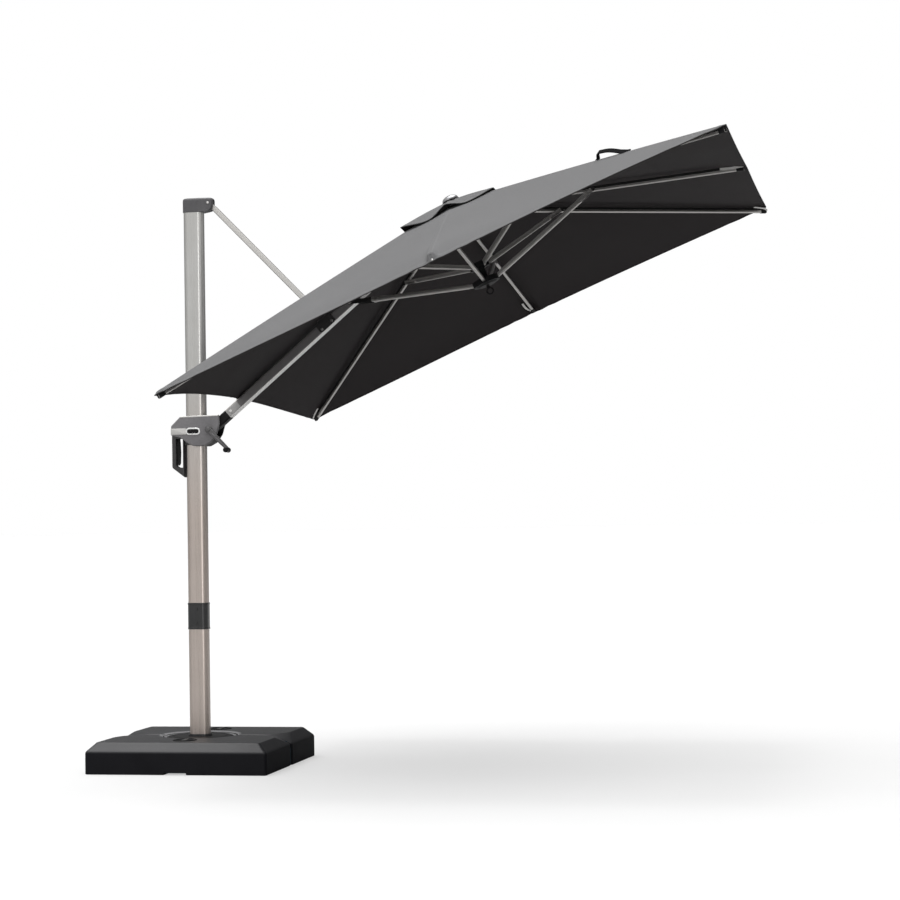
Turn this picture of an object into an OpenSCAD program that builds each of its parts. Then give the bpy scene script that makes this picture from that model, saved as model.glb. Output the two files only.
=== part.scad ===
// Side-post patio umbrella on a two-part weighted base.
// Origin: underside of the base, on the mast axis. +Z up, +X towards the canopy, +Y to the rear.

/* [Base] */
// Width of the base across the arm direction
base_w = 830; // [760:5:900]
// Depth of the base, both halves together
base_d = 830; // [760:5:900]
// How far the base centre sits forward of the mast
base_shift = 12; // [0:1:20]
// Height of the upright outer wall of the base
base_wall_h = 98; // [90:1:105]
// Overall height of the base tanks
base_h = 138; // [134:1:145]
// Wall thickness of the moulded tanks
tank_wall = 5; // [4:0.5:7]
// Radius of the turntable disc under the mast
turn_r = 148; // [135:1:152]
// Radius of the filler caps
filler_r = 52; // [48:1:58]

/* [Mast] */
// Mast section along the arm direction
mast_x = 90; // [90:1:90]
// Mast section across the arm direction
mast_y = 60; // [60:1:60]
// Corner radius of the mast section
mast_r = 20; // [16:1:24]
// Height of the top of the upper mast tube
mast_top = 2520; // [2500:5:2530]
// Height of the joint between lower and upper mast tubes
mast_split = 676; // [640:1:720]
// Length of the joint collar
collar_l = 120; // [100:5:140]

/* [Tilt linkage] */
// Forward offset of the two mast-side pivots from the mast axis
piv_x = 74; // [72:1:78]
// Height of the tie bar pivot in the mast cap
top_piv_z = 2557.5; // [2550:0.5:2565]
// Height of the arm pivot in the carriage
low_piv_z = 1522; // [1515:1:1530]
// Length between pivots of the tie bar, equal to the arm segment
tie_l = 723.25; // [720:0.25:726]
// Slope of the main arm above level
arm_slope = 40.2; // [39.8:0.1:40.6]
// Length of the main arm from carriage pivot to crown pivot
arm_l = 1440; // [1430:1:1450]
// Depth of the main arm section
arm_d = 42; // [40:1:44]
// Width of the main arm section
arm_w = 56; // [54:1:56]

/* [Canopy] */
// Half the side of the square canopy
half_side = 1250; // [1240:5:1260]
// Tilt of the canopy axis
tilt = 22.9; // [22.5:0.1:23.3]
// Slope of the ribs that run to the middle of each side
mid_slope = 17.3; // [17.3:0.1:17.3]
// Slope of the ribs that run to the corners
corner_slope = 13.4; // [13.4:0.1:13.4]
// Strut joint distance along a side rib
mid_joint = 575; // [575:1:575]
// Strut joint distance along a corner rib
corner_joint = 526.6; // [526.6:0.1:526.6]
// Length between pivots of a corner strut
corner_strut = 546.9; // [546.9:0.1:546.9]
// Angle of a corner strut from the canopy axis
corner_strut_ang = 74.63; // [74.63:0.01:74.63]
// Height of the corner strut ring above the side strut ring on the lower hub
hub_rise = 75; // [75:1:75]
// Depth of a rib section
rib_d = 24; // [20:1:24]
// Thickness of the panel solids
cloth_t = 2; // [1.5:0.5:3]
// Half side of the raised vent cap
vent_half = 222; // [200:1:240]

/* [Handle] */
// Length of the winding crank between its axis and its knob
crank_l = 136; // [120:1:140]
// Angle of the crank below level at rest
crank_ang = 45; // [0:1:90]
// Width of the hand grip
grip_w = 34; // [28:1:40]

/* [Hidden] */
$fn = 48;
e = 0.01;
champagne = [0.72, 0.70, 0.66];
black = [0.10, 0.10, 0.11];
charcoal = [0.17, 0.17, 0.18];
grey = [0.40, 0.40, 0.41];
steel = [0.70, 0.70, 0.71];
cloth = [0.56, 0.56, 0.56];
bx0 = base_shift - base_w / 2;
bx1 = base_shift + base_w / 2;
by = base_d / 2;
cham = 42;
mast_foot = base_h - 5;
piv_r = 50;
rib_gap = 16;
ring_r = piv_r - 15;
crown = [piv_x + arm_l * cos(arm_slope) + piv_r * cos(tilt), 0,
         low_piv_z + arm_l * sin(arm_slope) + piv_r * sin(tilt)];
ear_h = tie_l * sin(asin((top_piv_z - low_piv_z) / 2 / tie_l) - arm_slope);
ear_x = tie_l * cos(asin((top_piv_z - low_piv_z) / 2 / tie_l) - arm_slope);
hub_z = -2 * mid_joint * sin(mid_slope);

function unit(v) = v / norm(v);

// ---------- shared shapes ----------

// upright rounded bar, centred on X and Y
module rbar(l, w, h, r) {
  translate([-l / 2 + r, -w / 2, 0]) cube([l - 2 * r, w, h]);
  translate([-l / 2, -w / 2 + r, 0]) cube([l, w - 2 * r, h]);
  for (sx = [-1, 1], sy = [-1, 1]) translate([sx * (l / 2 - r), sy * (w / 2 - r), 0]) cylinder(h = h, r = r);
}
module rtube(l, w, h, r, t) {
  difference() {
    rbar(l, w, h, r);
    translate([0, 0, -1]) rbar(l - 2 * t, w - 2 * t, h + 2, r - t);
  }
}
// the same bars laid along +X: depth on Z, width on Y
module xbar(x0, x1, d, w, r) { translate([x0, 0, 0]) rotate([0, 90, 0]) rbar(d, w, x1 - x0, r); }
module xtube(x0, x1, d, w, r, t) { translate([x0, 0, 0]) rotate([0, 90, 0]) rtube(d, w, x1 - x0, r, t); }
// cylinder along Y, centred
module ycyl(r, l) { rotate([90, 0, 0]) cylinder(h = l, r = r, center = true); }
// plate in the XZ plane between two Y values
module xzplate(pts, y0, y1) { translate([0, y1, 0]) rotate([90, 0, 0]) linear_extrude(y1 - y0) polygon(pts); }
// flat sheet through three or more coplanar points, thickness on the upper side
module sheet(p, t) {
  ex = unit(p[1] - p[0]);
  nn = unit(cross(p[1] - p[0], p[2] - p[0]));
  nz = nn[2] < 0 ? -nn : nn;
  ey = cross(nz, ex);
  multmatrix([[ex[0], ey[0], nz[0], p[0][0]], [ex[1], ey[1], nz[1], p[0][1]], [ex[2], ey[2], nz[2], p[0][2]], [0, 0, 0, 1]])
    linear_extrude(t) polygon([for (q = p) [(q - p[0]) * ex, (q - p[0]) * ey]]);
}

module arm_frame() { translate([piv_x, 0, low_piv_z]) rotate([0, -arm_slope, 0]) children(); }
module canopy_frame() { translate(crown) rotate([0, -tilt, 0]) children(); }

// ---------- base ----------

module half_block(s, inset, z0, z1) {
  // s is -1 for the front half and 1 for the rear half
  x0 = bx0 + inset;
  x1 = bx1 - inset;
  wall = base_wall_h - inset / 2;
  top = base_h - inset;
  ya = 1 + inset;
  yb = by - inset;
  intersection() {
    xzplate([[x0, z0], [x1, z0], [x1, wall], [x1 - cham, top], [x0 + cham, top], [x0, wall]], -by - 1, by + 1);
    translate([x0 - 1, 0, 0]) rotate([90, 0, 90]) linear_extrude(x1 - x0 + 2)
      polygon([[s * ya, z0], [s * ya, top - 20], [s * (ya + 16), top], [s * (yb - cham), top], [s * yb, wall], [s * yb, z0]]);
    translate([base_shift, 0, z0 - 1]) rbar(x1 - x0, 2 * yb, z1 - z0 + 2, 28);
    translate([x0 - 1, -by - 1, z0]) cube([x1 - x0 + 2, 2 * by + 2, z1 - z0]);
  }
}
module half_tank(s) {
  difference() {
    union() {
      difference() {
        half_block(s, 0, 0, base_h);
        difference() {
          half_block(s, tank_wall, tank_wall, base_h - tank_wall);
          translate([0, 0, -1]) cylinder(h = base_h + 2, r = turn_r + 12);
          translate([-160, -160, -1]) cube([320, 320, 20]);
        }
      }
      // filler neck
      translate([base_shift, s * 265, base_h - 26]) cylinder(h = 26, r = 46);
    }
    // through hole and turntable recess
    translate([0, 0, -1]) cylinder(h = base_h + 2, r = 62);
    translate([0, 0, base_h - 16]) cylinder(h = 20, r = turn_r + 3);
    translate([0, 0, base_h - 4]) cylinder(h = 8, r1 = turn_r + 3, r2 = turn_r + 19);
    // pocket for the foot plate
    translate([-153, -153, -1]) cube([306, 306, 13]);
    // filler bore
    translate([base_shift, s * 265, base_h - 40]) cylinder(h = 60, r = 40);
    // finger notch under the outer wall and side notches at the seam
    translate([base_shift - 55, s > 0 ? by - 12 : -by - 8, -1]) cube([110, 20, 12]);
    for (sx = [-1, 1]) translate([base_shift + sx * (base_w / 2 + 8) - 20, s * 30 - 30, base_wall_h - 14]) cube([40, 60, 80]);
    // lifting recess along the outer top edge
    for (sx = [-1, 1]) translate([base_shift + sx * 250, s * (by - 110), base_h - 3]) rbar(150, 26, 8, 12);
  }
}
module front_tank() { color(charcoal) half_tank(-1); }
module rear_tank() { color(charcoal) half_tank(1); }
module water_fill() {
  color([0.3, 0.4, 0.5]) for (s = [-1, 1]) difference() {
    half_block(s, tank_wall + 1, tank_wall + 1, base_h - 30);
    translate([0, 0, -1]) cylinder(h = base_h + 2, r = turn_r + 13);
    translate([-161, -161, -1]) cube([322, 322, 21]);
    // clear of the notches that bite into the walls
    translate([base_shift - 61, s > 0 ? by - 20 : -by - 8, -1]) cube([122, 28, 20]);
    for (sx = [-1, 1]) translate([base_shift + sx * (base_w / 2 + 2) - 26, s * 30 - 36, base_wall_h - 22]) cube([52, 72, 90]);
  }
}
module foot_plate() {
  color(grey) difference() {
    translate([-150, -150, 0]) cube([300, 300, 8]);
    for (a = [45:90:315]) rotate(a) translate([51, 0, -1]) cylinder(h = 12, r = 4.1);
  }
}
module socket_tube() {
  color(grey) difference() {
    union() {
      translate([0, 0, 8]) cylinder(h = 8, r = 60);
      translate([0, 0, 8]) cylinder(h = base_h - 16.3 - 8 + 0.0, r = 41);
    }
    translate([0, 0, 7]) cylinder(h = base_h, r = 36.05);
    for (a = [45:90:315]) rotate(a) translate([51, 0, 0]) cylinder(h = 30, r = 4.1);
  }
}
module foot_bolts() {
  color(steel) for (a = [45:90:315]) rotate(a) translate([51, 0, 0]) {
    translate([0, 0, 1]) cylinder(h = 16, r = 4);
    translate([0, 0, 16]) cylinder(h = 5, r = 7);
  }
}
module filler_cap(s) {
  translate([base_shift, s * 265, 0]) {
    difference() {
      union() {
        translate([0, 0, base_h + 0.4]) cylinder(h = 7, r = filler_r);
        translate([0, 0, base_h + 7.4]) cylinder(h = 2.6, r1 = filler_r, r2 = filler_r - 4);
      }
      translate([0, 0, base_h + 6]) difference() {
        cylinder(h = 10, r = filler_r - 14);
        translate([-9, -filler_r, -1]) cube([18, 2 * filler_r, 14]);
      }
    }
    translate([0, 0, base_h - 20]) cylinder(h = 21, r = 39.94);
  }
}
module front_filler_cap() { color(black) filler_cap(-1); }
module rear_filler_cap() { color(black) filler_cap(1); }

// ---------- mast ----------

module turntable() {
  color(black) difference() {
    union() {
      translate([0, 0, base_h - 16 + 0.0 + 0.3]) cylinder(h = 8.2, r = turn_r);
      translate([0, 0, base_h - 7.5]) cylinder(h = 2.5, r1 = turn_r, r2 = turn_r - 5);
      translate([0, 0, 40]) cylinder(h = base_h - 16 - 30, r = 36);
    }
    // ring groove on the top
    translate([0, 0, base_h - 6.4]) difference() {
      cylinder(h = 4, r = 128);
      translate([0, 0, -1]) cylinder(h = 6, r = 122);
    }
  }
}
module mast_shoe() {
  color(black) translate([0, 0, mast_foot]) difference() {
    union() {
      rbar(mast_x + 14, mast_y + 14, 5, mast_r + 7);
      rbar(mast_x + 8, mast_y + 8, 9, mast_r + 4);
    }
    translate([0, 0, -1]) rbar(mast_x + 0.4, mast_y + 0.4, 20, mast_r + 0.2);
  }
}
module mast_tube(z0, z1) { translate([0, 0, z0]) rtube(mast_x, mast_y, z1 - z0, mast_r, 2); }
module lower_mast() { color(champagne) mast_tube(mast_foot, mast_split - 0.5); }
module upper_mast() { color(champagne) mast_tube(mast_split + 0.5, mast_top); }
module mast_collar() {
  color(black) translate([0, 0, mast_split - collar_l / 2]) difference() {
    union() {
      rbar(mast_x + 5, mast_y + 5, collar_l, mast_r + 2.5);
      for (z = [0, collar_l - 8]) translate([0, 0, z]) rbar(mast_x + 7, mast_y + 7, 8, mast_r + 3.5);
    }
    translate([0, 0, -1]) rbar(mast_x + 0.3, mast_y + 0.3, collar_l + 2, mast_r + 0.15);
    for (z = [28, collar_l - 28]) translate([0, 0, z]) ycyl(3.1, 100);
  }
}
module joiner_tube() {
  color(grey) translate([0, 0, mast_split - 95]) difference() {
    rtube(mast_x - 4.3, mast_y - 4.3, 190, mast_r - 2.15, 2.5);
    for (z = [95 - collar_l / 2 + 28, 95 + collar_l / 2 - 28]) translate([0, 0, z]) ycyl(3.1, 100);
  }
}
module collar_screws() {
  color(steel) for (s = [-1, 1], z = [28, collar_l - 28])
    translate([0, s * (mast_y / 2 + 2.6), mast_split - collar_l / 2 + z]) rotate([s * -90, 0, 0]) cylinder(h = 3, r1 = 6, r2 = 4.4);
}
module mast_cap() {
  color(grey) difference() {
    union() {
      translate([0, 0, mast_top - 4]) rbar(mast_x + 6, mast_y + 6, 58, mast_r + 3);
      translate([0, 0, mast_top + 54]) rbar(mast_x - 2, mast_y - 2, 5, mast_r - 1);
      translate([0, 0, mast_top + 59]) rbar(mast_x - 16, mast_y - 16, 3, mast_r - 8);
      // nose that carries the tie bar
      translate([20, -mast_y / 2 + 3, mast_top + 14]) cube([piv_x - 20, mast_y - 6, 46]);
      translate([piv_x, 0, top_piv_z]) ycyl(20, mast_y - 6);
      translate([20, -mast_y / 2 + 3, mast_top + 8]) cube([piv_x - 26, mast_y - 6, 20]);
    }
    // seat on the tube end
    translate([0, 0, mast_top - 5]) rbar(mast_x + 0.3, mast_y + 0.3, 5.3, mast_r + 0.15);
    // slot for the tie bar end, open below and forward
    translate([piv_x - 20, -8.5, mast_top - 30]) cube([60, 17, top_piv_z + 14.5 - mast_top + 30]);
    translate([piv_x, 0, top_piv_z]) ycyl(6, 100);
  }
}
module cap_pin() {
  color(steel) translate([piv_x, 0, top_piv_z]) {
    ycyl(6, mast_y - 4);
    for (s = [-1, 1]) translate([0, s * (mast_y / 2 - 1.2), 0]) ycyl(9, 3.4);
  }
}

// ---------- tie bar ----------

tie_down = asin((top_piv_z - low_piv_z) / 2 / tie_l);
module tie_frame() { translate([piv_x, 0, top_piv_z]) rotate([0, tie_down, 0]) children(); }
module tie_bar() { color(champagne) tie_frame() xtube(34, tie_l - 34, 25, 16, 6, 2); }
module tie_ends() {
  color(grey) tie_frame() for (m = [0, 1]) translate([m * tie_l, 0, 0]) mirror([m, 0, 0]) difference() {
    union() {
      ycyl(12.5, 15.6);
      translate([0, -7.8, -10]) cube([34, 15.6, 20]);
      xbar(30, 64, 20.6, 11.6, 3.95);
    }
    ycyl(m == 0 ? 6.06 : 5.06, 40);
  }
}

// ---------- main arm ----------

module main_arm() {
  color(champagne) arm_frame() difference() {
    xtube(108, arm_l - 46, arm_d, arm_w, 8, 2.5);
    translate([arm_l - mid_joint, 0, 0]) ycyl(5.06, 100);
  }
}
module arm_ends() {
  color(black) arm_frame() {
    difference() {
      union() {
        ycyl(arm_d / 2, arm_w);
        xbar(0, 108, arm_d, arm_w, 8);
        xbar(100, 150, arm_d - 5.4, arm_w - 5.4, 5);
      }
      ycyl(8.06, 100);
      // rope passage
      translate([30, 0, 0]) rotate([0, 90, 0]) cylinder(h = 200, r = 6);
    }
    difference() {
      union() {
        xbar(arm_l - 100, arm_l - 46, arm_d - 5.4, arm_w - 5.4, 5);
        translate([arm_l - 60, -7, -10]) cube([60, 14, 20]);
        translate([arm_l, 0, 0]) ycyl(10, 14);
      }
      translate([arm_l, 0, 0]) ycyl(4.06, 40);
    }
  }
}
module tie_bracket() {
  color(black) arm_frame() difference() {
    union() {
      difference() {
        translate([ear_x - 45, 0, 0]) rotate([0, 90, 0]) rbar(arm_d + 7.6, arm_w + 7.6, 90, 10);
        translate([ear_x - 50, 0, 0]) rotate([0, 90, 0]) rbar(arm_d + 0.6, arm_w + 0.6, 100, 8.3);
      }
      for (s = [-1, 1]) {
        xzp = s > 0 ? 8.6 : -13.6;
        xzplate([[ear_x - 34, arm_d / 2 + 1], [ear_x + 34, arm_d / 2 + 1], [ear_x + 13, ear_h], [ear_x - 13, ear_h]], xzp, xzp + 5);
        translate([ear_x, xzp + 2.5, ear_h]) ycyl(13, 5);
      }
    }
    translate([ear_x, 0, ear_h]) ycyl(5, 60);
    for (x = [-30, 30]) translate([ear_x + x, 0, -7]) ycyl(4, 100);
  }
}
module arm_bolts() {
  color(steel) arm_frame() {
    translate([ear_x, 0, ear_h]) {
      ycyl(5, 27.4);
      for (s = [-1, 1]) translate([0, s * 15.15, 0]) ycyl(8, 3);
    }
    for (x = [-30, 30], s = [-1, 1]) translate([ear_x + x, s * (arm_w / 2 + 2), -7]) ycyl(3.9, 3.4);
    for (x = [-30, 30], s = [-1, 1]) translate([ear_x + x, s * (arm_w / 2 + 5.4), -7]) ycyl(6.5, 3.2);
    for (s = [-1, 1]) translate([128, s * (arm_w / 2 + 1.5), 0]) ycyl(7, 3);
    // strut pivot through the arm
    translate([arm_l - mid_joint, 0, 0]) ycyl(5, arm_w + 12);
    for (s = [-1, 1]) translate([arm_l - mid_joint, s * (arm_w / 2 + 7.6), 0]) ycyl(8, 3.2);
  }
}
module arm_tip() {
  // rest that carries the middle of the mast-side edge on the arm
  xt = arm_l - (half_side - piv_r) / cos(mid_slope);
  color(black) arm_frame() difference() {
    union() {
      translate([xt - 12, -arm_w / 2 - 3, arm_d / 2 + 0.3]) cube([62, arm_w + 6, 4]);
      translate([xt - 12, -10, arm_d / 2 + 2]) cube([14, 20, 10]);
      for (s = [-1, 1]) translate([xt - 12, s * (arm_w / 2 + 1.7) - 1.3, arm_d / 2 - 14]) cube([62, 2.6, 16]);
    }
    translate([xt + 30, 0, 0]) cylinder(h = 60, r = 2.6);
  }
}

// ---------- carriage with grip and crank ----------

cover = [[-62, 61], [120, 66], [123, 26], [110, -20], [86, -56], [52, -74], [0, -74], [-30, -60], [-60, -36], [-106, -24], [-106, 18]];
module carriage_frame() { translate([0, 0, low_piv_z]) children(); }
module carriage_sleeve() {
  color(black) carriage_frame() difference() {
    union() {
      translate([0, 0, -68]) rbar(mast_x + 12, 78, 124, mast_r + 5);
      for (s = [-1, 1]) translate([40, s * 34 - 5, -60]) cube([30, 10, 108]);
    }
    translate([0, 0, -70]) rbar(mast_x + 2, mast_y + 2, 140, mast_r + 1);
    translate([piv_x, 0, 0]) ycyl(8.05, 200);
  }
}
module side_cover(s) {
  difference() {
    union() {
      xzplate(cover, s > 0 ? 39 : -49, s > 0 ? 49 : -39);
      xzplate([for (p = cover) [p[0] * 0.955, p[1] * 0.94]], s > 0 ? 48 : -52, s > 0 ? 52 : -48);
    }
    translate([piv_x, 0, 0]) ycyl(8.05, 200);
  }
}
module near_cover() { color(grey) carriage_frame() side_cover(-1); }
module far_cover() { color(black) carriage_frame() side_cover(1); }
module trim_band() {
  color(champagne) carriage_frame() {
    translate([-100, -53.6, -21]) cube([66, 1.6, 28]);
    translate([-1, -52, -7]) rotate([90, 0, 0]) linear_extrude(2.6) difference() {
      union() {
        translate([-18, -16]) square([36, 32]);
        for (s = [-1, 1]) translate([s * 18, 0]) circle(r = 16);
      }
      translate([-18, -10]) square([36, 20]);
      for (s = [-1, 1]) translate([s * 18, 0]) circle(r = 10);
    }
  }
}
module grip_handle() {
  w = grip_w;
  color(charcoal) carriage_frame() difference() {
    union() {
      // outer bar, foot and mast-side bar of the closed grip
      translate([-114, -w / 2, -172]) cube([18, w, 154]);
      xzplate([[-114, -172], [-96, -172], [-50, -196], [-50, -216], [-60, -216]], -w / 2, w / 2);
      translate([-100, -w / 2, -182]) cube([50, w, 10]);
      translate([-53, -w / 2, -216]) cube([6.6, w, 190]);
      translate([-110, -w / 2, -38]) cube([60, w, 20]);
    }
    // shallow ribs on the outer face
    for (z = [-160:10:-60]) translate([-116, -w / 2 - 1, z]) cube([3.5, w + 2, 4]);
    // pivot bore and slot for the trigger
    translate([-84, 0, -30]) ycyl(3.05, 60);
    translate([-96.1, -6.4, -60]) cube([24.1, 12.8, 38]);
    // seat against the sleeve
    translate([-51.15, -w / 2 - 2, -68.3]) cube([10, w + 4, 80]);
  }
}
module pivot_pin() {
  color(steel) carriage_frame() {
    difference() {
      translate([piv_x, 2, 0]) ycyl(8, 100);
      // bore that the crank spindle turns in
      translate([piv_x, -49, 0]) ycyl(5.06, 60);
    }
    translate([piv_x, 53.5, 0]) ycyl(12, 3);
    translate([-84, 0, -30]) ycyl(3, grip_w - 4);
  }
}
module squeeze_trigger() {
  color(black) carriage_frame() difference() {
    union() {
      translate([-84, 0, -30]) ycyl(6, 11.6);
      xzplate([[-90, -30], [-79, -30], [-78, -100], [-80, -150], [-85, -160], [-88.5, -120]], -5.8, 5.8);
      xzplate([[-88, -52], [-80, -52], [-78, -100], [-80, -150], [-85, -160], [-88, -120]], -13, 13);
    }
    translate([-84, 0, -30]) ycyl(3.06, 60);
  }
}
module crank_frame() { translate([piv_x, 0, low_piv_z]) rotate([0, crank_ang, 0]) children(); }
module crank_arm() {
  color(black) crank_frame() {
    translate([0, -60, 0]) ycyl(17, 12);
    translate([0, -67, 0]) ycyl(12, 4);
    translate([0, -65, -8]) cube([crank_l, 7, 16]);
    translate([0, -38, 0]) ycyl(5, 36);
    translate([crank_l, -61.5, 0]) ycyl(8, 7);
    translate([crank_l, -91, 0]) ycyl(5, 60);
  }
}
module crank_knob() {
  color(black) crank_frame() translate([crank_l, 0, 0]) difference() {
    union() {
      translate([0, -92, 0]) ycyl(13, 46);
      translate([0, -117, 0]) ycyl(11.5, 5);
      translate([0, -68, 0]) ycyl(15, 4);
    }
    translate([0, -92, 0]) ycyl(5.06, 80);
  }
}

// ---------- canopy frame ----------

module crown_hub() {
  color(black) canopy_frame() {
    difference() {
      union() {
        translate([0, 0, -14]) cylinder(h = 26, r = 66);
        translate([0, 0, 12 - e]) cylinder(h = 5, r1 = 66, r2 = 58);
        translate([0, 0, -40]) cylinder(h = 30, r = 30);
      }
      for (a = [0:45:315]) rotate(a) translate([37, -7.5, -50]) cube([40, 15, 61.5]);
      translate([0, 0, -41]) cylinder(h = 24, r = 9);
    }
    for (a = [0:45:315]) rotate(a) translate([piv_r, 0, 0]) ycyl(4, 21);
  }
}
module top_finial() {
  color(black) canopy_frame() {
    translate([0, 0, 17]) cylinder(h = 37, r = 11);
    // low domed cap over the vent
    translate([0, 0, 53]) cylinder(h = 4, r = 39);
    translate([0, 0, 57 - e]) cylinder(h = 9, r1 = 38, r2 = 34);
    translate([0, 0, 66 - 2 * e]) cylinder(h = 8, r1 = 34, r2 = 24);
    translate([0, 0, 74 - 3 * e]) cylinder(h = 5, r1 = 24, r2 = 9);
  }
}
module lower_hub() {
  color(black) canopy_frame() translate([0, 0, hub_z]) {
    difference() {
      union() {
        translate([0, 0, -13]) cylinder(h = 24, r = 62);
        translate([0, 0, -20]) cylinder(h = 8, r1 = 40, r2 = 58);
        translate([0, 0, 10]) cylinder(h = hub_rise - 8, r = 18);
        translate([0, 0, hub_rise - 14]) cylinder(h = 27, r = 46);
      }
      for (a = [0:90:270]) rotate(a) translate([37, -7.5, -10.6]) cube([40, 15, 40]);
      for (a = [45:90:315]) rotate(a) translate([19, -7.5, hub_rise - 20]) cube([40, 15, 60]);
    }
    for (a = [0:90:270]) rotate(a) translate([piv_r, 0, 0]) ycyl(4, 21);
    for (a = [45:90:315]) rotate(a) translate([ring_r, 0, hub_rise]) ycyl(3.5, 18);
    // pull ring and its eye
    translate([0, 0, -34]) cylinder(h = 20, r = 7);
    translate([0, 0, -48]) rotate([90, 0, 0]) rotate_extrude() translate([14, 0]) circle(r = 3);
  }
}

module rib(az, slope, len, jd) {
  color(grey) canopy_frame() rotate(az) translate([piv_r, 0, 0]) rotate([0, slope, 0]) difference() {
    union() {
      ycyl(10, 14);
      translate([0, -7, -10]) cube([60, 14, 20]);
      xtube(44, len, rib_d, 14, 4, 1.6);
      translate([jd - 14, -6.2, -10]) cube([28, 12.4, 20]);
    }
    ycyl(4.06, 40);
    translate([jd, 0, 0]) ycyl(4.06, 40);
  }
}
mid_len = (half_side - piv_r) / cos(mid_slope) - 12;
corner_len = (half_side * sqrt(2) - piv_r) / cos(corner_slope) - 12;
module rib_e() rib(0, mid_slope, mid_len, mid_joint);
module rib_n() rib(90, mid_slope, mid_len, mid_joint);
module rib_s() rib(-90, mid_slope, mid_len, mid_joint);
module rib_ne() rib(45, corner_slope, corner_len, corner_joint);
module rib_nw() rib(135, corner_slope, corner_len, corner_joint);
module rib_sw() rib(-135, corner_slope, corner_len, corner_joint);
module rib_se() rib(-45, corner_slope, corner_len, corner_joint);

// one strut from its rib joint to the lower hub; fw is the width inside the fork, fl its length
module strut(az, slope, jd, ang, len, fw, fl, eye_r, eye_h) {
  color(grey) canopy_frame() rotate(az) translate([piv_r + jd * cos(slope), 0, -jd * sin(slope)]) rotate([0, 90 + ang, 0]) difference() {
    union() {
      for (s = [-1, 1]) {
        translate([0, s * (fw / 2 + 1.5), 0]) ycyl(11, 3);
        translate([0, s * (fw / 2 + 1.5) - 1.5, -10]) cube([fl + 6, 3, 20]);
      }
      translate([fl, -fw / 2 - 3, -10]) cube([12, fw + 6, 20]);
      if (fw > 20) translate([fl + 10, -fw / 4 - 3, -10]) cube([12, fw / 2 + 6, 20]);
      xtube(fl + 8, len - 30, 22, 14, 4, 1.6);
      translate([len - 46, -6.8, -9]) cube([46, 13.6, 18]);
      translate([len, 0, 0]) ycyl(eye_r, 13.6);
      // rib pin, carried in the fork
      if (fw < 20) ycyl(4, fw + 4);
    }
    translate([len, 0, 0]) ycyl(eye_h, 40);
    if (fw > 20) ycyl(5.06, 200);
  }
}
module mid_strut(az) { strut(az, mid_slope, mid_joint, 90 - mid_slope, mid_joint, 15, 72, 9, 4.06); }
module corner_strut_at(az) { strut(az, corner_slope, corner_joint, corner_strut_ang, corner_strut, 15, 72, 12.5, 8.5); }
module strut_e() mid_strut(0);
module strut_n() mid_strut(90);
module strut_s() mid_strut(-90);
module strut_ne() corner_strut_at(45);
module strut_nw() corner_strut_at(135);
module strut_sw() corner_strut_at(-135);
module strut_se() corner_strut_at(-45);
module strut_w() strut(180, mid_slope, mid_joint, 90 - mid_slope, mid_joint, arm_w + 1.2, 100, 9, 4.06);

// ---------- canopy panels ----------

// point on a hem or ring: az a multiple of 45, k the share of the full size
function lift(az) = abs(az) == 180 ? 30 : rib_gap;
function apex_z(a1, a2) = (abs(a1) == 180 || abs(a2) == 180) ? 46 : 30;
function hem(az) = let (c = abs(az) % 90 == 45, r = c ? half_side * sqrt(2) : half_side,
  s = c ? corner_slope : mid_slope) [r * cos(az), r * sin(az), -(r - piv_r) * tan(s) + lift(az)];
function split(a1, a2) = let (m = abs(a1) % 90 == 45 ? a2 : a1, c = abs(a1) % 90 == 45 ? a1 : a2)
  hem(m) + tan(22.5) * (hem(c) - hem(m));
function toward(p, q, d) = p + d * unit(q - p);
function mix3(a, b, k) = a + k * (b - a);

// the two half panels that belong to the rib at az, and the vent cap over them
module panel(az) {
  for (s = [-1, 1]) {
    oth = az + 45 * s;
    ot = oth > 180 ? oth - 360 : (oth < -180 ? oth + 360 : oth);
    ap = [0, 0, apex_z(az, ot)];
    h0 = hem(az);
    h1 = split(az, ot);
    k0 = 110 / half_side;
    i0 = mix3(ap, h0, k0);
    i1 = mix3(ap, h1, k0);
    // stop short of the neighbour by a small gap
    sheet([i0, h0, toward(h1, h0, 1.2), toward(i1, i0, 1.2)], cloth_t);
    kv = vent_half / half_side;
    va = [0, 0, 50];
    v0 = mix3(ap, h0, kv) + [0, 0, 26];
    v1 = mix3(ap, h1, kv) + [0, 0, 6];
    w0 = mix3(va, v0, 0.1);
    w1 = mix3(va, v1, 0.1);
    sheet([w0, v0, toward(v1, v0, 1.2), toward(w1, w0, 0.6)], cloth_t);
  }
}
module canopy_e() { color(cloth) canopy_frame() panel(0); }
module canopy_ne() { color(cloth) canopy_frame() panel(45); }
module canopy_n() { color(cloth) canopy_frame() panel(90); }
module canopy_nw() { color(cloth) canopy_frame() panel(135); }
module canopy_sw() { color(cloth) canopy_frame() panel(-135); }
module canopy_s() { color(cloth) canopy_frame() panel(-90); }
module canopy_se() { color(cloth) canopy_frame() panel(-45); }
module canopy_w() {
  color(cloth) difference() {
    canopy_frame() panel(180);
    // slit that the tie bracket stands through
    arm_frame() translate([ear_x - 80, -35, arm_d / 2]) cube([160, 70, 60]);
  }
}

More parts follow.
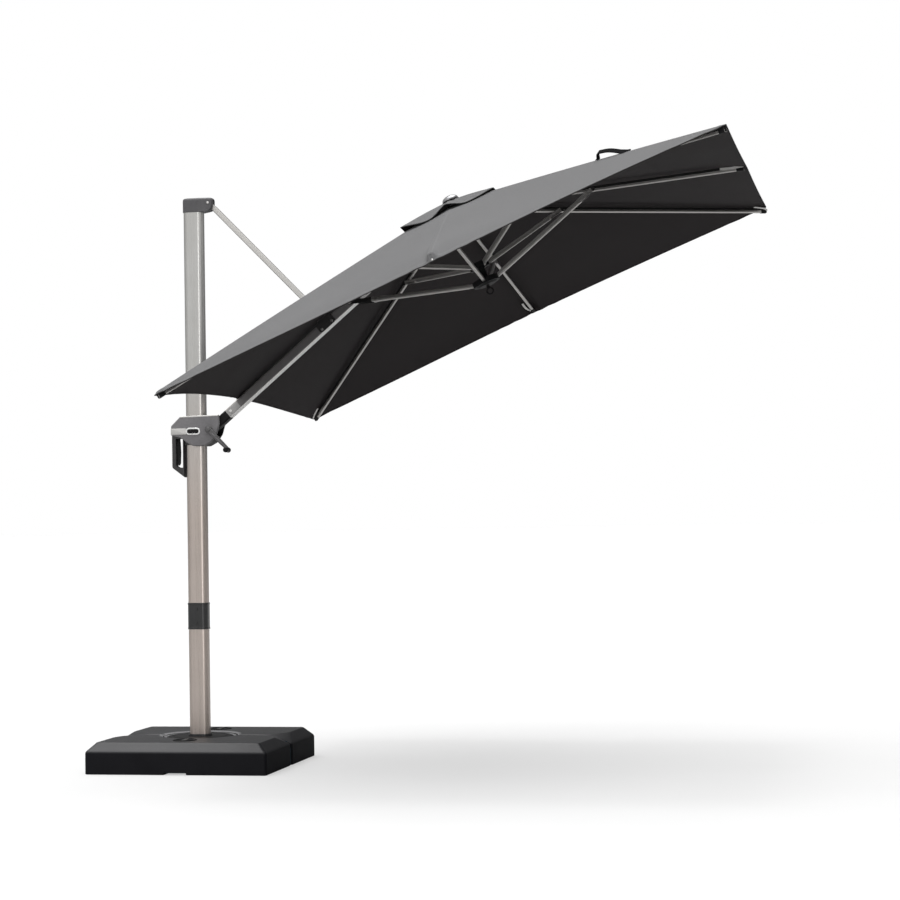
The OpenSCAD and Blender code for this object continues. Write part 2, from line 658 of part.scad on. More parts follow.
front_tank();
rear_tank();
water_fill();
foot_plate();
socket_tube();
foot_bolts();
front_filler_cap();
rear_filler_cap();
turntable();
mast_shoe();
lower_mast();
mast_collar();
joiner_tube();
collar_screws();
upper_mast();
mast_cap();
cap_pin();
tie_bar();
tie_ends();
main_arm();
arm_ends();
tie_bracket();
arm_bolts();
arm_tip();
carriage_sleeve();
near_cover();
far_cover();
trim_band();
grip_handle();
pivot_pin();
squeeze_trigger();
crank_arm();
crank_knob();
crown_hub();
top_finial();
lower_hub();
rib_e();
rib_ne();
rib_n();
rib_nw();
rib_sw();
rib_s();
rib_se();
strut_e();
strut_ne();
strut_n();
strut_nw();
strut_w();
strut_sw();
strut_s();
strut_se();
canopy_e();
canopy_ne();
canopy_n();
canopy_nw();
canopy_w();
canopy_sw();
canopy_s();
canopy_se();
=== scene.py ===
import math

import bmesh
import bpy
import numpy as np
from mathutils import Matrix, Vector


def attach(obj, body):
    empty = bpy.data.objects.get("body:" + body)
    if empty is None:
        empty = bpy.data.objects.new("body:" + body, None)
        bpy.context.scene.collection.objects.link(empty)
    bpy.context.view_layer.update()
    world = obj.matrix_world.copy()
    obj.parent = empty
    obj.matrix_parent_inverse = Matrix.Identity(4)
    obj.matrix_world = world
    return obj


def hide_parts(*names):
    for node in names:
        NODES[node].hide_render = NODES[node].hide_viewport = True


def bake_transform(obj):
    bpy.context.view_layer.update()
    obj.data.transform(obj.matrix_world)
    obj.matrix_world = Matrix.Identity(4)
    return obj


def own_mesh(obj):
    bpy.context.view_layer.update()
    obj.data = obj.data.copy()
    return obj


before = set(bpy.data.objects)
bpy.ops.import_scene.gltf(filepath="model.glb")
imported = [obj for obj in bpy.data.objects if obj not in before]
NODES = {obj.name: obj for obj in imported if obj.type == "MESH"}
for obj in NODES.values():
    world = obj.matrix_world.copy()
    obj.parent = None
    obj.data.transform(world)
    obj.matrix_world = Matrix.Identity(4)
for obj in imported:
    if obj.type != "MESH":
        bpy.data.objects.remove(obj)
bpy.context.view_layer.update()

SCENE = bpy.context.scene
sin, cos, rad = math.sin, math.cos, math.radians

# ------------------------------------------------------------------ the part's own geometry, in metres
PIV = np.array([0.074, 0.0, 1.522])
CAP_PIV = np.array([0.074, 0.0, 2.5575])
ARM_L, ARM_S = 1.440, rad(40.2)
TIE_L = 0.72325
TIE_DOWN = math.asin((2.5575 - 1.522) / 2 / TIE_L)
TAU = rad(22.9)
CROWN = np.array([0.074 + ARM_L * cos(ARM_S) + 0.050 * cos(TAU), 0.0, 1.522 + ARM_L * sin(ARM_S) + 0.050 * sin(TAU)])
CU, CV, CN = np.array([cos(TAU), 0, sin(TAU)]), np.array([0.0, 1.0, 0.0]), np.array([-sin(TAU), 0, cos(TAU)])
HALF, PR = 1.250, 0.050
MID_S, COR_S = rad(17.3), rad(13.4)
NAMES = ["e", "ne", "n", "nw", "w", "sw", "s", "se"]
T22 = math.tan(rad(22.5))


def canopy_world(p):
    p = np.asarray(p, float)
    return CROWN + p[..., 0:1] * CU + p[..., 1:2] * CV + p[..., 2:3] * CN


def arm_world(p):
    p = np.asarray(p, float)
    ax, az = np.array([cos(ARM_S), 0, sin(ARM_S)]), np.array([-sin(ARM_S), 0, cos(ARM_S)])
    return PIV + p[..., 0:1] * ax + p[..., 1:2] * CV + p[..., 2:3] * az


def tie_world(p):
    p = np.asarray(p, float)
    ax, az = np.array([cos(TIE_DOWN), 0, -sin(TIE_DOWN)]), np.array([sin(TIE_DOWN), 0, cos(TIE_DOWN)])
    return CAP_PIV + p[..., 0:1] * ax + p[..., 1:2] * CV + p[..., 2:3] * az


def plain(p):
    return np.asarray(p, float)


# ------------------------------------------------------------------ camera and stage
def make_camera():
    yaw, pitch, roll = rad(11.34), rad(1.58), rad(-0.9)
    fwd = Vector((-sin(yaw) * cos(pitch), cos(yaw) * cos(pitch), sin(pitch)))
    r0 = Vector((cos(yaw), sin(yaw), 0))
    u0 = r0.cross(fwd)
    right = r0 * cos(roll) + u0 * sin(roll)
    up = -r0 * sin(roll) + u0 * cos(roll)
    cam = bpy.data.cameras.new("view")
    cam.lens, cam.sensor_width, cam.sensor_fit = 91.64, 36.0, "HORIZONTAL"
    cam.clip_end = 400
    ob = bpy.data.objects.new("view", cam)
    SCENE.collection.objects.link(ob)
    ob.matrix_world = Matrix(
        (
            (right.x, up.x, -fwd.x, 3.1867),
            (right.y, up.y, -fwd.y, -10.0175),
            (right.z, up.z, -fwd.z, 1.125),
            (0, 0, 0, 1),
        )
    )
    SCENE.camera = ob


# ------------------------------------------------------------------ materials
class Mat:
    """A Principled material with a few helpers for its node tree."""

    def __init__(self, name, **sockets):
        self.m = bpy.data.materials.new(name)
        self.m.use_nodes = True
        self.t = self.m.node_tree
        self.t.nodes.clear()
        self.out = self.t.nodes.new("ShaderNodeOutputMaterial")
        self.b = self.t.nodes.new("ShaderNodeBsdfPrincipled")
        self.t.links.new(self.b.outputs[0], self.out.inputs[0])
        for k, v in sockets.items():
            self.b.inputs[k.replace("_", " ")].default_value = v
        self.co = self.t.nodes.new("ShaderNodeTexCoord")

    def link(self, a, b):
        self.t.links.new(a, b)

    def node(self, kind, **props):
        n = self.t.nodes.new("ShaderNode" + kind)
        for k, v in props.items():
            setattr(n, k, v)
        return n

    def coords(self, scale=(1, 1, 1), rot=(0, 0, 0), uv=False):
        n = self.node("Mapping")
        n.inputs["Scale"].default_value = scale
        n.inputs["Rotation"].default_value = rot
        self.link(self.co.outputs["UV" if uv else "Object"], n.inputs["Vector"])
        return n.outputs[0]

    def along(self, d, scale):
        """Object coordinates turned so that d lies on X, then scaled by (along, across, across)."""
        q = Vector(d).normalized().rotation_difference(Vector((1, 0, 0)))
        n = self.node("Mapping", vector_type="TEXTURE")
        n.inputs["Scale"].default_value = tuple(1 / x for x in scale)
        n.inputs["Rotation"].default_value = tuple(q.inverted().to_euler("XYZ"))
        self.link(self.co.outputs["Object"], n.inputs["Vector"])
        return n.outputs[0]

    def noise(self, vec, scale, detail=3.0, rough=0.5, dims="3D"):
        n = self.node("TexNoise", noise_dimensions=dims)
        n.inputs["Scale"].default_value = scale
        n.inputs["Detail"].default_value = detail
        n.inputs["Roughness"].default_value = rough
        self.link(vec, n.inputs["Vector"])
        return n.outputs["Fac"]

    def ramp(self, fac, stops):
        n = self.node("ValToRGB")
        e = n.color_ramp.elements
        while len(e) < len(stops):
            e.new(0.5)
        for k, (pos, c) in enumerate(stops):
            e[k].position = pos
            e[k].color = (*c, 1) if hasattr(c, "__len__") else (c, c, c, 1)
        self.link(fac, n.inputs["Fac"])
        return n.outputs["Color"]

    def maprange(self, v, a, b, c, d, clamp=True):
        n = self.node("MapRange")
        n.clamp = clamp
        self.link(v, n.inputs["Value"])
        for k, x in zip(("From Min", "From Max", "To Min", "To Max"), (a, b, c, d)):
            n.inputs[k].default_value = x
        return n.outputs["Result"]

    def math(self, op, a, b=None):
        n = self.node("Math", operation=op)
        for k, x in enumerate((a, b)):
            if x is None:
                continue
            if isinstance(x, (int, float)):
                n.inputs[k].default_value = x
            else:
                self.link(x, n.inputs[k])
        return n.outputs[0]

    def mix(self, fac, a, b):
        n = self.node("Mix", data_type="RGBA")
        if isinstance(fac, (int, float)):
            n.inputs["Factor"].default_value = fac
        else:
            self.link(fac, n.inputs["Factor"])
        for name, x in (("A", a), ("B", b)):
            sock = [i for i in n.inputs if i.name == name and i.type == "RGBA"][0]
            if hasattr(x, "__len__"):
                sock.default_value = (*x, 1)
            else:
                self.link(x, sock)
        return [o for o in n.outputs if o.type == "RGBA"][0]

    def bump(self, height, strength, distance, normal=None):
        n = self.node("Bump")
        n.inputs["Strength"].default_value = strength
        n.inputs["Distance"].default_value = distance
        self.link(height, n.inputs["Height"])
        if normal is not None:
            self.link(normal, n.inputs["Normal"])
        return n.outputs[0]

    def bevel(self, radius, samples=4):
        n = self.node("Bevel", samples=samples)
        n.inputs["Radius"].default_value = radius
        return n.outputs[0]

    def set(self, name, sock):
        self.link(sock, self.b.inputs[name])


def anodised(name, d, light, dark, rough=(0.26, 0.40), bevel=0.0, metallic=1.0, streak=1.0, relief=0.12):
    """Extruded, brushed and anodised aluminium: long fine streaks and slight cloudiness."""
    m = Mat(name, Metallic=metallic)
    fine = m.noise(m.along(d, (3, 900, 900)), 1.0, 4.0, 0.6)
    broad = m.noise(m.along(d, (0.8, 60, 60)), 1.0, 3.0, 0.55)
    cloud = m.noise(m.coords(), 7.0, 4.0, 0.6)
    blend = m.math("ADD", m.math("MULTIPLY", broad, 0.55 * streak), m.math("MULTIPLY", cloud, 0.45))
    m.set("Base Color", m.ramp(blend, [(0.30, dark), (0.70, light)]))
    m.set("Roughness", m.maprange(m.math("ADD", fine, broad), 0.6, 1.4, rough[0], rough[1]))
    n = m.bevel(bevel) if bevel else None
    m.set("Normal", m.bump(fine, relief, 0.0004, n))
    return m.m


def cooler_top_painted_lit_side(mat):
    """The mast's colour shifts from champagne to a cooler silver towards the top, and its faces that look towards +X
    are made lighter near the top, a painted highlight.
    """
    nt = mat.node_tree
    b = nt.nodes["Principled BSDF"]
    co, sep, mr, tint = (nt.nodes.new("ShaderNode" + k) for k in ("TexCoord", "SeparateXYZ", "MapRange", "Mix"))
    tint.data_type, tint.blend_type = "RGBA", "MULTIPLY"
    nt.links.new(co.outputs["Object"], sep.inputs[0])
    nt.links.new(sep.outputs["Z"], mr.inputs["Value"])
    for k, v in (("From Min", 1.15), ("From Max", 1.80), ("To Min", 0.0), ("To Max", 1.0)):
        mr.inputs[k].default_value = v
    nt.links.new(mr.outputs[0], tint.inputs[0])
    nt.links.new(b.inputs["Base Color"].links[0].from_socket, tint.inputs[6])
    tint.inputs[7].default_value = (0.99, 1.12, 1.19, 1)
    # painted highlight: faces looking towards +X are made 1.62 times lighter between 1.6 m and 2.0 m height
    lift, high, side, both = (nt.nodes.new("ShaderNode" + k) for k in ("Mix", "MapRange", "Math", "Math"))
    lift.data_type, lift.blend_type, side.operation, both.operation = "RGBA", "MULTIPLY", "GREATER_THAN", "MULTIPLY"
    nt.links.new(sep.outputs["Z"], high.inputs["Value"])
    for k, v in (("From Min", 1.60), ("From Max", 2.00), ("To Min", 0.0), ("To Max", 1.0)):
        high.inputs[k].default_value = v
    face = nt.nodes.new("ShaderNodeSeparateXYZ")
    nt.links.new(co.outputs["Normal"], face.inputs[0])
    nt.links.new(face.outputs["X"], side.inputs[0])
    side.inputs[1].default_value = 0.45
    nt.links.new(high.outputs[0], both.inputs[0])
    nt.links.new(side.outputs[0], both.inputs[1])
    nt.links.new(both.outputs[0], lift.inputs[0])
    nt.links.new(tint.outputs[2], lift.inputs[6])
    lift.inputs[7].default_value = (1.62, 1.62, 1.62, 1)
    nt.links.new(lift.outputs[2], b.inputs["Base Color"])


def painted_light_by_face(mat, up, parts, specular):
    """Painted light and shade on some faces of an extruded bar: flat non-metallic colours set by face direction for how
    light falls on them. parts: ((which, start), colour); which is 1 top, -1 underside, 0 sides; start is the distance
    along the bar from the arm's pivot.
    """
    nt = mat.node_tree
    b = nt.nodes["Principled BSDF"]
    b.inputs["Specular IOR Level"].default_value = specular

    def node(kind, **props):
        n = nt.nodes.new("ShaderNode" + kind)
        for k, v in props.items():
            setattr(n, k, v)
        return n

    def op(kind, a, c):
        n = node("Math", operation=kind)
        for k, v in enumerate((a, c)):
            if isinstance(v, (int, float)):
                n.inputs[k].default_value = v
            else:
                nt.links.new(v, n.inputs[k])
        return n.outputs[0]

    def dot(out, v):
        n = node("VectorMath", operation="DOT_PRODUCT")
        nt.links.new(out, n.inputs[0])
        n.inputs[1].default_value = v
        return n.outputs["Value"]

    co = node("TexCoord")
    col = b.inputs["Base Color"].links[0].from_socket
    metal = b.inputs["Metallic"].default_value
    for (which, start), colour in parts:
        facing = dot(co.outputs["Normal"], up)
        if which == 1:
            mask = op("GREATER_THAN", facing, 0.6)
        elif which == -1:
            mask = op("LESS_THAN", facing, -0.6)
        else:
            n = node("Math", operation="ABSOLUTE")
            nt.links.new(facing, n.inputs[0])
            run = dot(co.outputs["Object"], (cos(ARM_S), 0, sin(ARM_S)))
            mask = op("MULTIPLY", op("LESS_THAN", n.outputs[0], 0.6), op("GREATER_THAN", run, PIV[0] * cos(ARM_S) + PIV[2] * sin(ARM_S) + start))
        m = node("Mix", data_type="RGBA")
        nt.links.new(mask, m.inputs[0])
        nt.links.new(col, m.inputs[6])
        m.inputs[7].default_value = (*colour, 1)
        col = m.outputs[2]
        if metal is not None:
            metal = op("MULTIPLY", metal, op("SUBTRACT", 1.0, mask))
    nt.links.new(col, b.inputs["Base Color"])
    nt.links.new(metal, b.inputs["Metallic"])


def moulded(name, light, dark, rough=(0.42, 0.58), grain=650.0, depth=0.0005, strength=0.5, bevel=0.0, dust=None, coat=0.0, scuff=0.0):
    """Textured moulded plastic: spark-eroded grain, slow colour drift and, on upward faces, a little dust."""
    m = Mat(name, Metallic=0.0)
    if coat:
        m.b.inputs["Coat Weight"].default_value = coat
        m.b.inputs["Coat Roughness"].default_value = 0.25
    co = m.coords()
    g1 = m.noise(co, grain, 2.0, 0.5)
    g2 = m.noise(co, grain * 0.31, 3.0, 0.6)
    slow = m.noise(co, 5.0, 5.0, 0.65)
    col = m.ramp(m.math("ADD", m.math("MULTIPLY", slow, 0.7), m.math("MULTIPLY", g2, 0.3)), [(0.34, dark), (0.68, light)])
    if dust:
        geo = m.node("NewGeometry")
        sep = m.node("SeparateXYZ")
        m.link(geo.outputs["Normal"], sep.inputs[0])
        up = m.maprange(sep.outputs["Z"], 0.35, 1.0, 0.0, 1.0)
        spots = m.maprange(m.noise(co, 11.0, 6.0, 0.7), 0.42, 0.72, 0.0, 0.75)
        col = m.mix(m.math("MULTIPLY", up, spots), col, dust)
    m.set("Base Color", col)
    r = m.maprange(m.math("ADD", slow, g1), 0.6, 1.4, rough[0], rough[1])
    if scuff:
        lines = m.maprange(m.noise(m.coords((40, 40, 600)), 1.0, 2.0, 0.5), 0.60, 0.68, 0.0, scuff)
        r = m.math("SUBTRACT", r, lines)
    m.set("Roughness", r)
    n = m.bevel(bevel) if bevel else None
    m.set("Normal", m.bump(m.math("ADD", g1, m.math("MULTIPLY", g2, 0.8)), strength, depth, n))
    return m.m


def coated(name, light, dark, rough=(0.30, 0.42), bevel=0.0, metallic=0.0, orange=260.0):
    """Powder-coated metal: faint orange peel, tiny sparkle variation, softer edges."""
    m = Mat(name, Metallic=metallic)
    m.b.inputs["Specular IOR Level"].default_value = 0.55
    co = m.coords()
    peel = m.noise(co, orange, 2.0, 0.4)
    slow = m.noise(co, 9.0, 4.0, 0.6)
    m.set("Base Color", m.ramp(slow, [(0.35, dark), (0.68, light)]))
    m.set("Roughness", m.maprange(m.math("ADD", peel, slow), 0.6, 1.4, rough[0], rough[1]))
    n = m.bevel(bevel) if bevel else None
    m.set("Normal", m.bump(peel, 0.25, 0.0005, n))
    return m.m


def bright(name, light=(0.72, 0.71, 0.69), dark=(0.52, 0.51, 0.50)):
    """Zinc-plated screws and pins: fine grain and faint stains."""
    m = Mat(name, Metallic=1.0)
    co = m.coords()
    stain = m.noise(co, 60.0, 4.0, 0.6)
    fine = m.noise(co, 900.0, 2.0, 0.5)
    m.set("Base Color", m.ramp(stain, [(0.35, dark), (0.65, light)]))
    m.set("Roughness", m.maprange(m.math("ADD", stain, fine), 0.6, 1.4, 0.18, 0.38))
    m.set("Normal", m.bump(fine, 0.2, 0.0002, m.bevel(0.0008)))
    return m.m


def cloth(name, light, dark, rough=(0.72, 0.9), sheen=0.35, stitches=True, coatside=False, weave=0.0013):
    """Woven polyester canvas. UV is in metres: u across from the rib seam, v in from the hem."""
    m = Mat(name, Metallic=0.0)
    m.b.inputs["Sheen Weight"].default_value = sheen
    m.b.inputs["Sheen Roughness"].default_value = 0.45
    m.b.inputs["Specular IOR Level"].default_value = 0.30 if not coatside else 0.42
    uv = m.node("SeparateXYZ")
    m.link(m.co.outputs["UV"], uv.inputs[0])
    u, v = uv.outputs["X"], uv.outputs["Y"]
    wu = m.math("SINE", m.math("MULTIPLY", u, math.tau / weave))
    wv = m.math("SINE", m.math("MULTIPLY", v, math.tau / weave))
    weft = m.math("MULTIPLY", wu, wv)
    co = m.coords()
    slub = m.noise(m.coords((60, 1600, 1), uv=True), 1.0, 2.0, 0.6, "2D")
    slubv = m.noise(m.coords((1600, 60, 1), uv=True), 1.0, 2.0, 0.6, "2D")
    cloud = m.noise(co, 2.6, 5.0, 0.62)
    fine = m.noise(co, 40.0, 4.0, 0.6)
    tone = m.math("ADD", m.math("MULTIPLY", cloud, 0.5), m.math("ADD", m.math("MULTIPLY", slub, 0.2), m.math("ADD", m.math("MULTIPLY", slubv, 0.2), m.math("MULTIPLY", fine, 0.1))))
    col = m.ramp(tone, [(0.36, dark), (0.64, light)])
    height = m.math("ADD", m.math("MULTIPLY", weft, 0.35), m.math("ADD", slub, slubv))
    if stitches:
        au = m.math("ABSOLUTE", m.math("SUBTRACT", m.math("ABSOLUTE", u), 0.0078))
        near = m.math("LESS_THAN", au, 0.00075)
        dash = m.math("LESS_THAN", m.math("FRACT", m.math("MULTIPLY", v, 1 / 0.0048)), 0.66)
        s1 = m.math("MULTIPLY", near, dash)
        av = m.math("ABSOLUTE", m.math("SUBTRACT", v, 0.0205))
        nearv = m.math("LESS_THAN", av, 0.00075)
        dashv = m.math("LESS_THAN", m.math("FRACT", m.math("MULTIPLY", u, 1 / 0.0048)), 0.66)
        s2 = m.math("MULTIPLY", nearv, dashv)
        st = m.math("MAXIMUM", s1, s2)
        col = m.mix(m.math("MULTIPLY", st, 0.55), col, tuple(min(1, x * 1.9) for x in light))
        height = m.math("ADD", height, m.math("MULTIPLY", st, 2.2))
    m.set("Base Color", col)
    m.set("Roughness", m.maprange(tone, 0.35, 0.65, rough[0], rough[1]))
    m.set("Normal", m.bump(height, 0.35, 0.0004))
    return m.m


CHAMP_L, CHAMP_D = (0.594, 0.522, 0.478), (0.505, 0.440, 0.397)
M = {}


def make_materials():
    M["mast"] = anodised("anodised_mast", (0, 0, 1), CHAMP_L, CHAMP_D, (0.24, 0.34))
    cooler_top_painted_lit_side(M["mast"])
    M["arm"] = anodised("anodised_arm", (cos(ARM_S), 0, sin(ARM_S)), CHAMP_L, CHAMP_D, (0.30, 0.42), 0.0)
    # painted light and shade on the arm: the sides are flat grey and turn darker from 0.176 m along, a painted shadow
    # under the canopy; the underside is near-white, a painted reflection of the floor; the top is a mid grey
    painted_light_by_face(M["arm"], (-sin(ARM_S), 0, cos(ARM_S)), [((0, -9), (0.34, 0.335, 0.33)), ((0, 0.176), (0.165, 0.158, 0.158)), ((-1, -9), (0.93, 0.92, 0.90)), ((1, -9), (0.40, 0.37, 0.34))], 0.3)
    M["tie"] = anodised("anodised_tie", (cos(TIE_DOWN), 0, -sin(TIE_DOWN)), (0.70, 0.685, 0.655), (0.62, 0.605, 0.58), (0.46, 0.58), 0.0, 0.0, 0.0, 0.03)
    # painted shade: the tie bar's top and underside are made dark grey and non-metallic, for the shade along its thin
    # edges
    painted_light_by_face(M["tie"], (sin(TIE_DOWN), 0, cos(TIE_DOWN)), [((1, 1), (0.20, 0.195, 0.19)), ((-1, 1), (0.16, 0.155, 0.15))], 0.3)
    M["trim"] = anodised("satin_trim", (1, 0, 0), (0.74, 0.73, 0.71), (0.62, 0.61, 0.59), (0.28, 0.38), 0.0008)
    M["tank"] = moulded("tank_moulding", (0.0120, 0.0120, 0.0142), (0.0080, 0.0080, 0.0096), (0.38, 0.50), 420.0, 0.0006, 0.4, 0.0, (0.019, 0.019, 0.022))
    # painted light through gloss: the tank's upward faces get more specular, a painted highlight, and its +X faces
    # less, a painted shade
    gloss_by_slope_painted_light(M["tank"], 0.07, 0.44)
    # painted highlight: a lighter grey for the sloped rim of the dish round the mast, standing in for the glints on
    # that rim
    M["tank_rim"] = moulded("dish_rim_painted_glint", (0.20, 0.20, 0.205), (0.12, 0.12, 0.125), (0.30, 0.42), 420.0, 0.0004, 0.4)
    M["black"] = moulded("black_moulding", (0.020, 0.020, 0.021), (0.011, 0.011, 0.012), (0.38, 0.52), 700.0, 0.0003, 0.4, 0.0015)
    M["gloss"] = moulded("gloss_moulding", (0.016, 0.016, 0.017), (0.009, 0.009, 0.010), (0.14, 0.24), 700.0, 0.0001, 0.15, 0.001, None, 0.4)
    M["grey"] = moulded("grey_moulding", (0.205, 0.198, 0.204), (0.118, 0.114, 0.119), (0.38, 0.50), 380.0, 0.0006, 0.6, 0.0018)
    M["cap"] = moulded("cap_moulding", (0.104, 0.101, 0.106), (0.068, 0.066, 0.070), (0.40, 0.52), 600.0, 0.0003, 0.4, 0.0022)
    M["grip"] = moulded("grip_rubber", (0.052, 0.050, 0.051), (0.030, 0.029, 0.030), (0.55, 0.72), 520.0, 0.0005, 0.6, 0.002)
    M["coat"] = coated("black_powder", (0.022, 0.021, 0.021), (0.012, 0.012, 0.012), (0.34, 0.48), 0.0012)
    M["steel"] = bright("zinc_plate")
    M["dark_steel"] = coated("grey_powder", (0.14, 0.14, 0.145), (0.09, 0.09, 0.095), (0.40, 0.55), 0.001, 0.2)
    M["water"] = moulded("water_fill", (0.05, 0.07, 0.09), (0.03, 0.05, 0.06), (0.1, 0.2), 200.0, 0.0002, 0.2)
    M["cloth_top"] = cloth("canvas_outside", (0.116, 0.116, 0.118), (0.098, 0.098, 0.100), (0.74, 0.9), 0.06)
    # painted shade: the canvas underside is a far darker copy of the outside canvas, standing in for the shade under
    # the canopy
    M["cloth_under"] = cloth("canvas_underside_painted_shade", (0.0340, 0.0302, 0.0310), (0.0245, 0.0217, 0.0224), (0.70, 0.85), 0.0, True, True)
    M["cloth_under"].node_tree.nodes["Principled BSDF"].inputs["Specular IOR Level"].default_value = 0.10
    M["binding"] = cloth("hem_binding", (0.050, 0.050, 0.051), (0.038, 0.038, 0.039), (0.66, 0.8), 0.05, False)
    M["webbing"] = cloth("black_webbing", (0.0075, 0.0075, 0.008), (0.0045, 0.0045, 0.005), (0.75, 0.9), 0.0, False, False, 0.002)
    M["webbing"].node_tree.nodes["Principled BSDF"].inputs["Specular IOR Level"].default_value = 0.06
    M["band"] = anodised("satin_band", (1, 0, 0), (0.60, 0.59, 0.575), (0.50, 0.49, 0.475), (0.42, 0.52), 0.0, 0.2)
    M["deep"] = moulded("deep_black", (0.0075, 0.0075, 0.008), (0.0045, 0.0045, 0.005), (0.45, 0.6), 700.0, 0.0003, 0.4)
    M["deep"].node_tree.nodes["Principled BSDF"].inputs["Specular IOR Level"].default_value = 0.16
    M["crank"] = moulded("crank_moulding", (0.115, 0.112, 0.113), (0.080, 0.078, 0.079), (0.34, 0.46), 420.0, 0.0004, 0.5, 0.001)
    M["ring"] = bright("badge_chrome", (0.92, 0.92, 0.91), (0.84, 0.84, 0.83))
    M["polished"] = bright("polished_cap", (0.42, 0.42, 0.43), (0.33, 0.33, 0.34))
    M["strap"] = cloth("grey_webbing", (0.78, 0.77, 0.75), (0.62, 0.61, 0.60), (0.6, 0.8), 0.1, False, False, 0.002)


def paint(node, mat):
    o = NODES[node]
    o.data.materials.clear()
    o.data.materials.append(mat)


def rib_metal(name, d):
    return anodised(name, d, (0.60, 0.585, 0.565), (0.47, 0.46, 0.445), (0.30, 0.44), 0.0012)


def paint_nodes():
    for n in ("lower_mast", "upper_mast"):
        paint(n, M["mast"])
    paint("main_arm", M["arm"])
    paint("tie_bar", M["tie"])
    paint("trim_band", M["trim"])
    for n in ("front_tank", "rear_tank"):
        paint(n, M["tank"])
    for n in ("front_filler_cap", "rear_filler_cap", "turntable", "mast_shoe", "arm_tip", "carriage_sleeve", "far_cover", "squeeze_trigger", "crank_knob"):
        paint(n, M["black"])
    paint("mast_collar", M["gloss"])
    paint("top_finial", M["gloss"])
    for n in ("arm_ends", "tie_bracket", "crank_arm", "crown_hub", "lower_hub"):
        paint(n, M["coat"])
    paint("mast_cap", M["cap"])
    paint("near_cover", M["grey"])
    paint("grip_handle", M["grip"])
    # the turntable is made near-black as painted shade, for the shaded dish round the mast foot
    for n in ("turntable", "lower_hub", "squeeze_trigger", "arm_ends"):
        paint(n, M["deep"])
    paint("collar_screws", M["gloss"])
    for n in ("foot_bolts", "cap_pin", "arm_bolts", "pivot_pin"):
        paint(n, M["steel"])
    for n in ("foot_plate", "socket_tube", "joiner_tube"):
        paint(n, M["dark_steel"])
    paint("tie_ends", M["tie"])
    paint("water_fill", M["water"])
    for k, nm in enumerate(NAMES):
        az = rad(45 * k)
        mid = k % 2 == 0
        s = MID_S if mid else COR_S
        out = cos(az) * CU + sin(az) * CV
        if nm != "w":
            d = out * cos(s) - CN * sin(s)
            paint("rib_" + nm, rib_metal("rib_metal_" + nm, d))
        jd = 0.575 if mid else 0.5266
        p = (PR + jd * cos(s)) * out - jd * sin(s) * CN
        e = (PR * out + -2 * 0.575 * sin(MID_S) * CN) if mid else (0.035 * out + (-2 * 0.575 * sin(MID_S) + 0.075) * CN)
        paint("strut_" + nm, rib_metal("strut_metal_" + nm, p - e))


# ------------------------------------------------------------------ mesh helpers
def new_object(name, verts, faces, mats, index=None, smooth=None, uvs=None):
    me = bpy.data.meshes.new(name)
    me.from_pydata([tuple(map(float, v)) for v in verts], [], [tuple(int(i) for i in f) for f in faces])
    for m in mats if isinstance(mats, (list, tuple)) else [mats]:
        me.materials.append(m)
    if index is not None:
        me.polygons.foreach_set("material_index", np.asarray(index, np.int32))
    if smooth is not None:
        me.polygons.foreach_set("use_smooth", np.asarray(smooth, bool) if hasattr(smooth, "__len__") else np.full(len(faces), bool(smooth)))
    if uvs is not None:
        layer = me.uv_layers.new(name="UVMap")
        loops = np.zeros(len(me.loops), np.int32)
        me.loops.foreach_get("vertex_index", loops)
        layer.data.foreach_set("uv", np.asarray(uvs, np.float32)[loops].ravel())
    me.validate()
    me.update()
    ob = bpy.data.objects.new(name, me)
    SCENE.collection.objects.link(ob)
    return ob


def sharpen(ob, angle=32.0):
    """Smooth shading with edges above the angle kept sharp, and flat faces kept flat."""
    bm = bmesh.new()
    bm.from_mesh(ob.data)
    for f in bm.faces:
        f.smooth = True
    for e in bm.edges:
        if len(e.link_faces) == 2:
            e.smooth = e.calc_face_angle(0.0) < rad(angle)
    bm.to_mesh(ob.data)
    bm.free()
    return ob


def weighted(ob):
    w = ob.modifiers.new("even normals", "WEIGHTED_NORMAL")
    w.keep_sharp = True
    w.weight = 90
    return ob


def boolean(ob, cutters, op="DIFFERENCE"):
    for c in cutters:
        b = ob.modifiers.new("cut", "BOOLEAN")
        b.operation, b.object, b.solver = op, c, "EXACT"
    apply(ob)
    for c in cutters:
        bpy.data.objects.remove(c, do_unlink=True)
    return ob


def apply(ob):
    dg = bpy.context.evaluated_depsgraph_get()
    bpy.context.view_layer.update()
    me = bpy.data.meshes.new_from_object(ob.evaluated_get(dg), depsgraph=dg)
    ob.modifiers.clear()
    old = ob.data
    ob.data = me
    me.name = ob.name
    bpy.data.meshes.remove(old)
    return ob


def loft(name, loops, mat, closed_ends=True, place=plain, smooth_angle=32.0):
    """Rings of equal point count joined by quads; the first and last are filled."""
    n = len(loops[0])
    verts = np.concatenate([np.asarray(l, float) for l in loops])
    faces = []
    for r in range(len(loops) - 1):
        a, b = r * n, (r + 1) * n
        for k in range(n):
            j = (k + 1) % n
            faces.append((a + k, a + j, b + j, b + k))
    if closed_ends:
        faces.append(tuple(range(n - 1, -1, -1)))
        faces.append(tuple(range((len(loops) - 1) * n, len(loops) * n)))
    ob = new_object(name, place(verts), faces, mat)
    fix_normals(ob)
    return sharpen(ob, smooth_angle)


def fix_normals(ob):
    bm = bmesh.new()
    bm.from_mesh(ob.data)
    bmesh.ops.recalc_face_normals(bm, faces=bm.faces)
    bm.to_mesh(ob.data)
    bm.free()


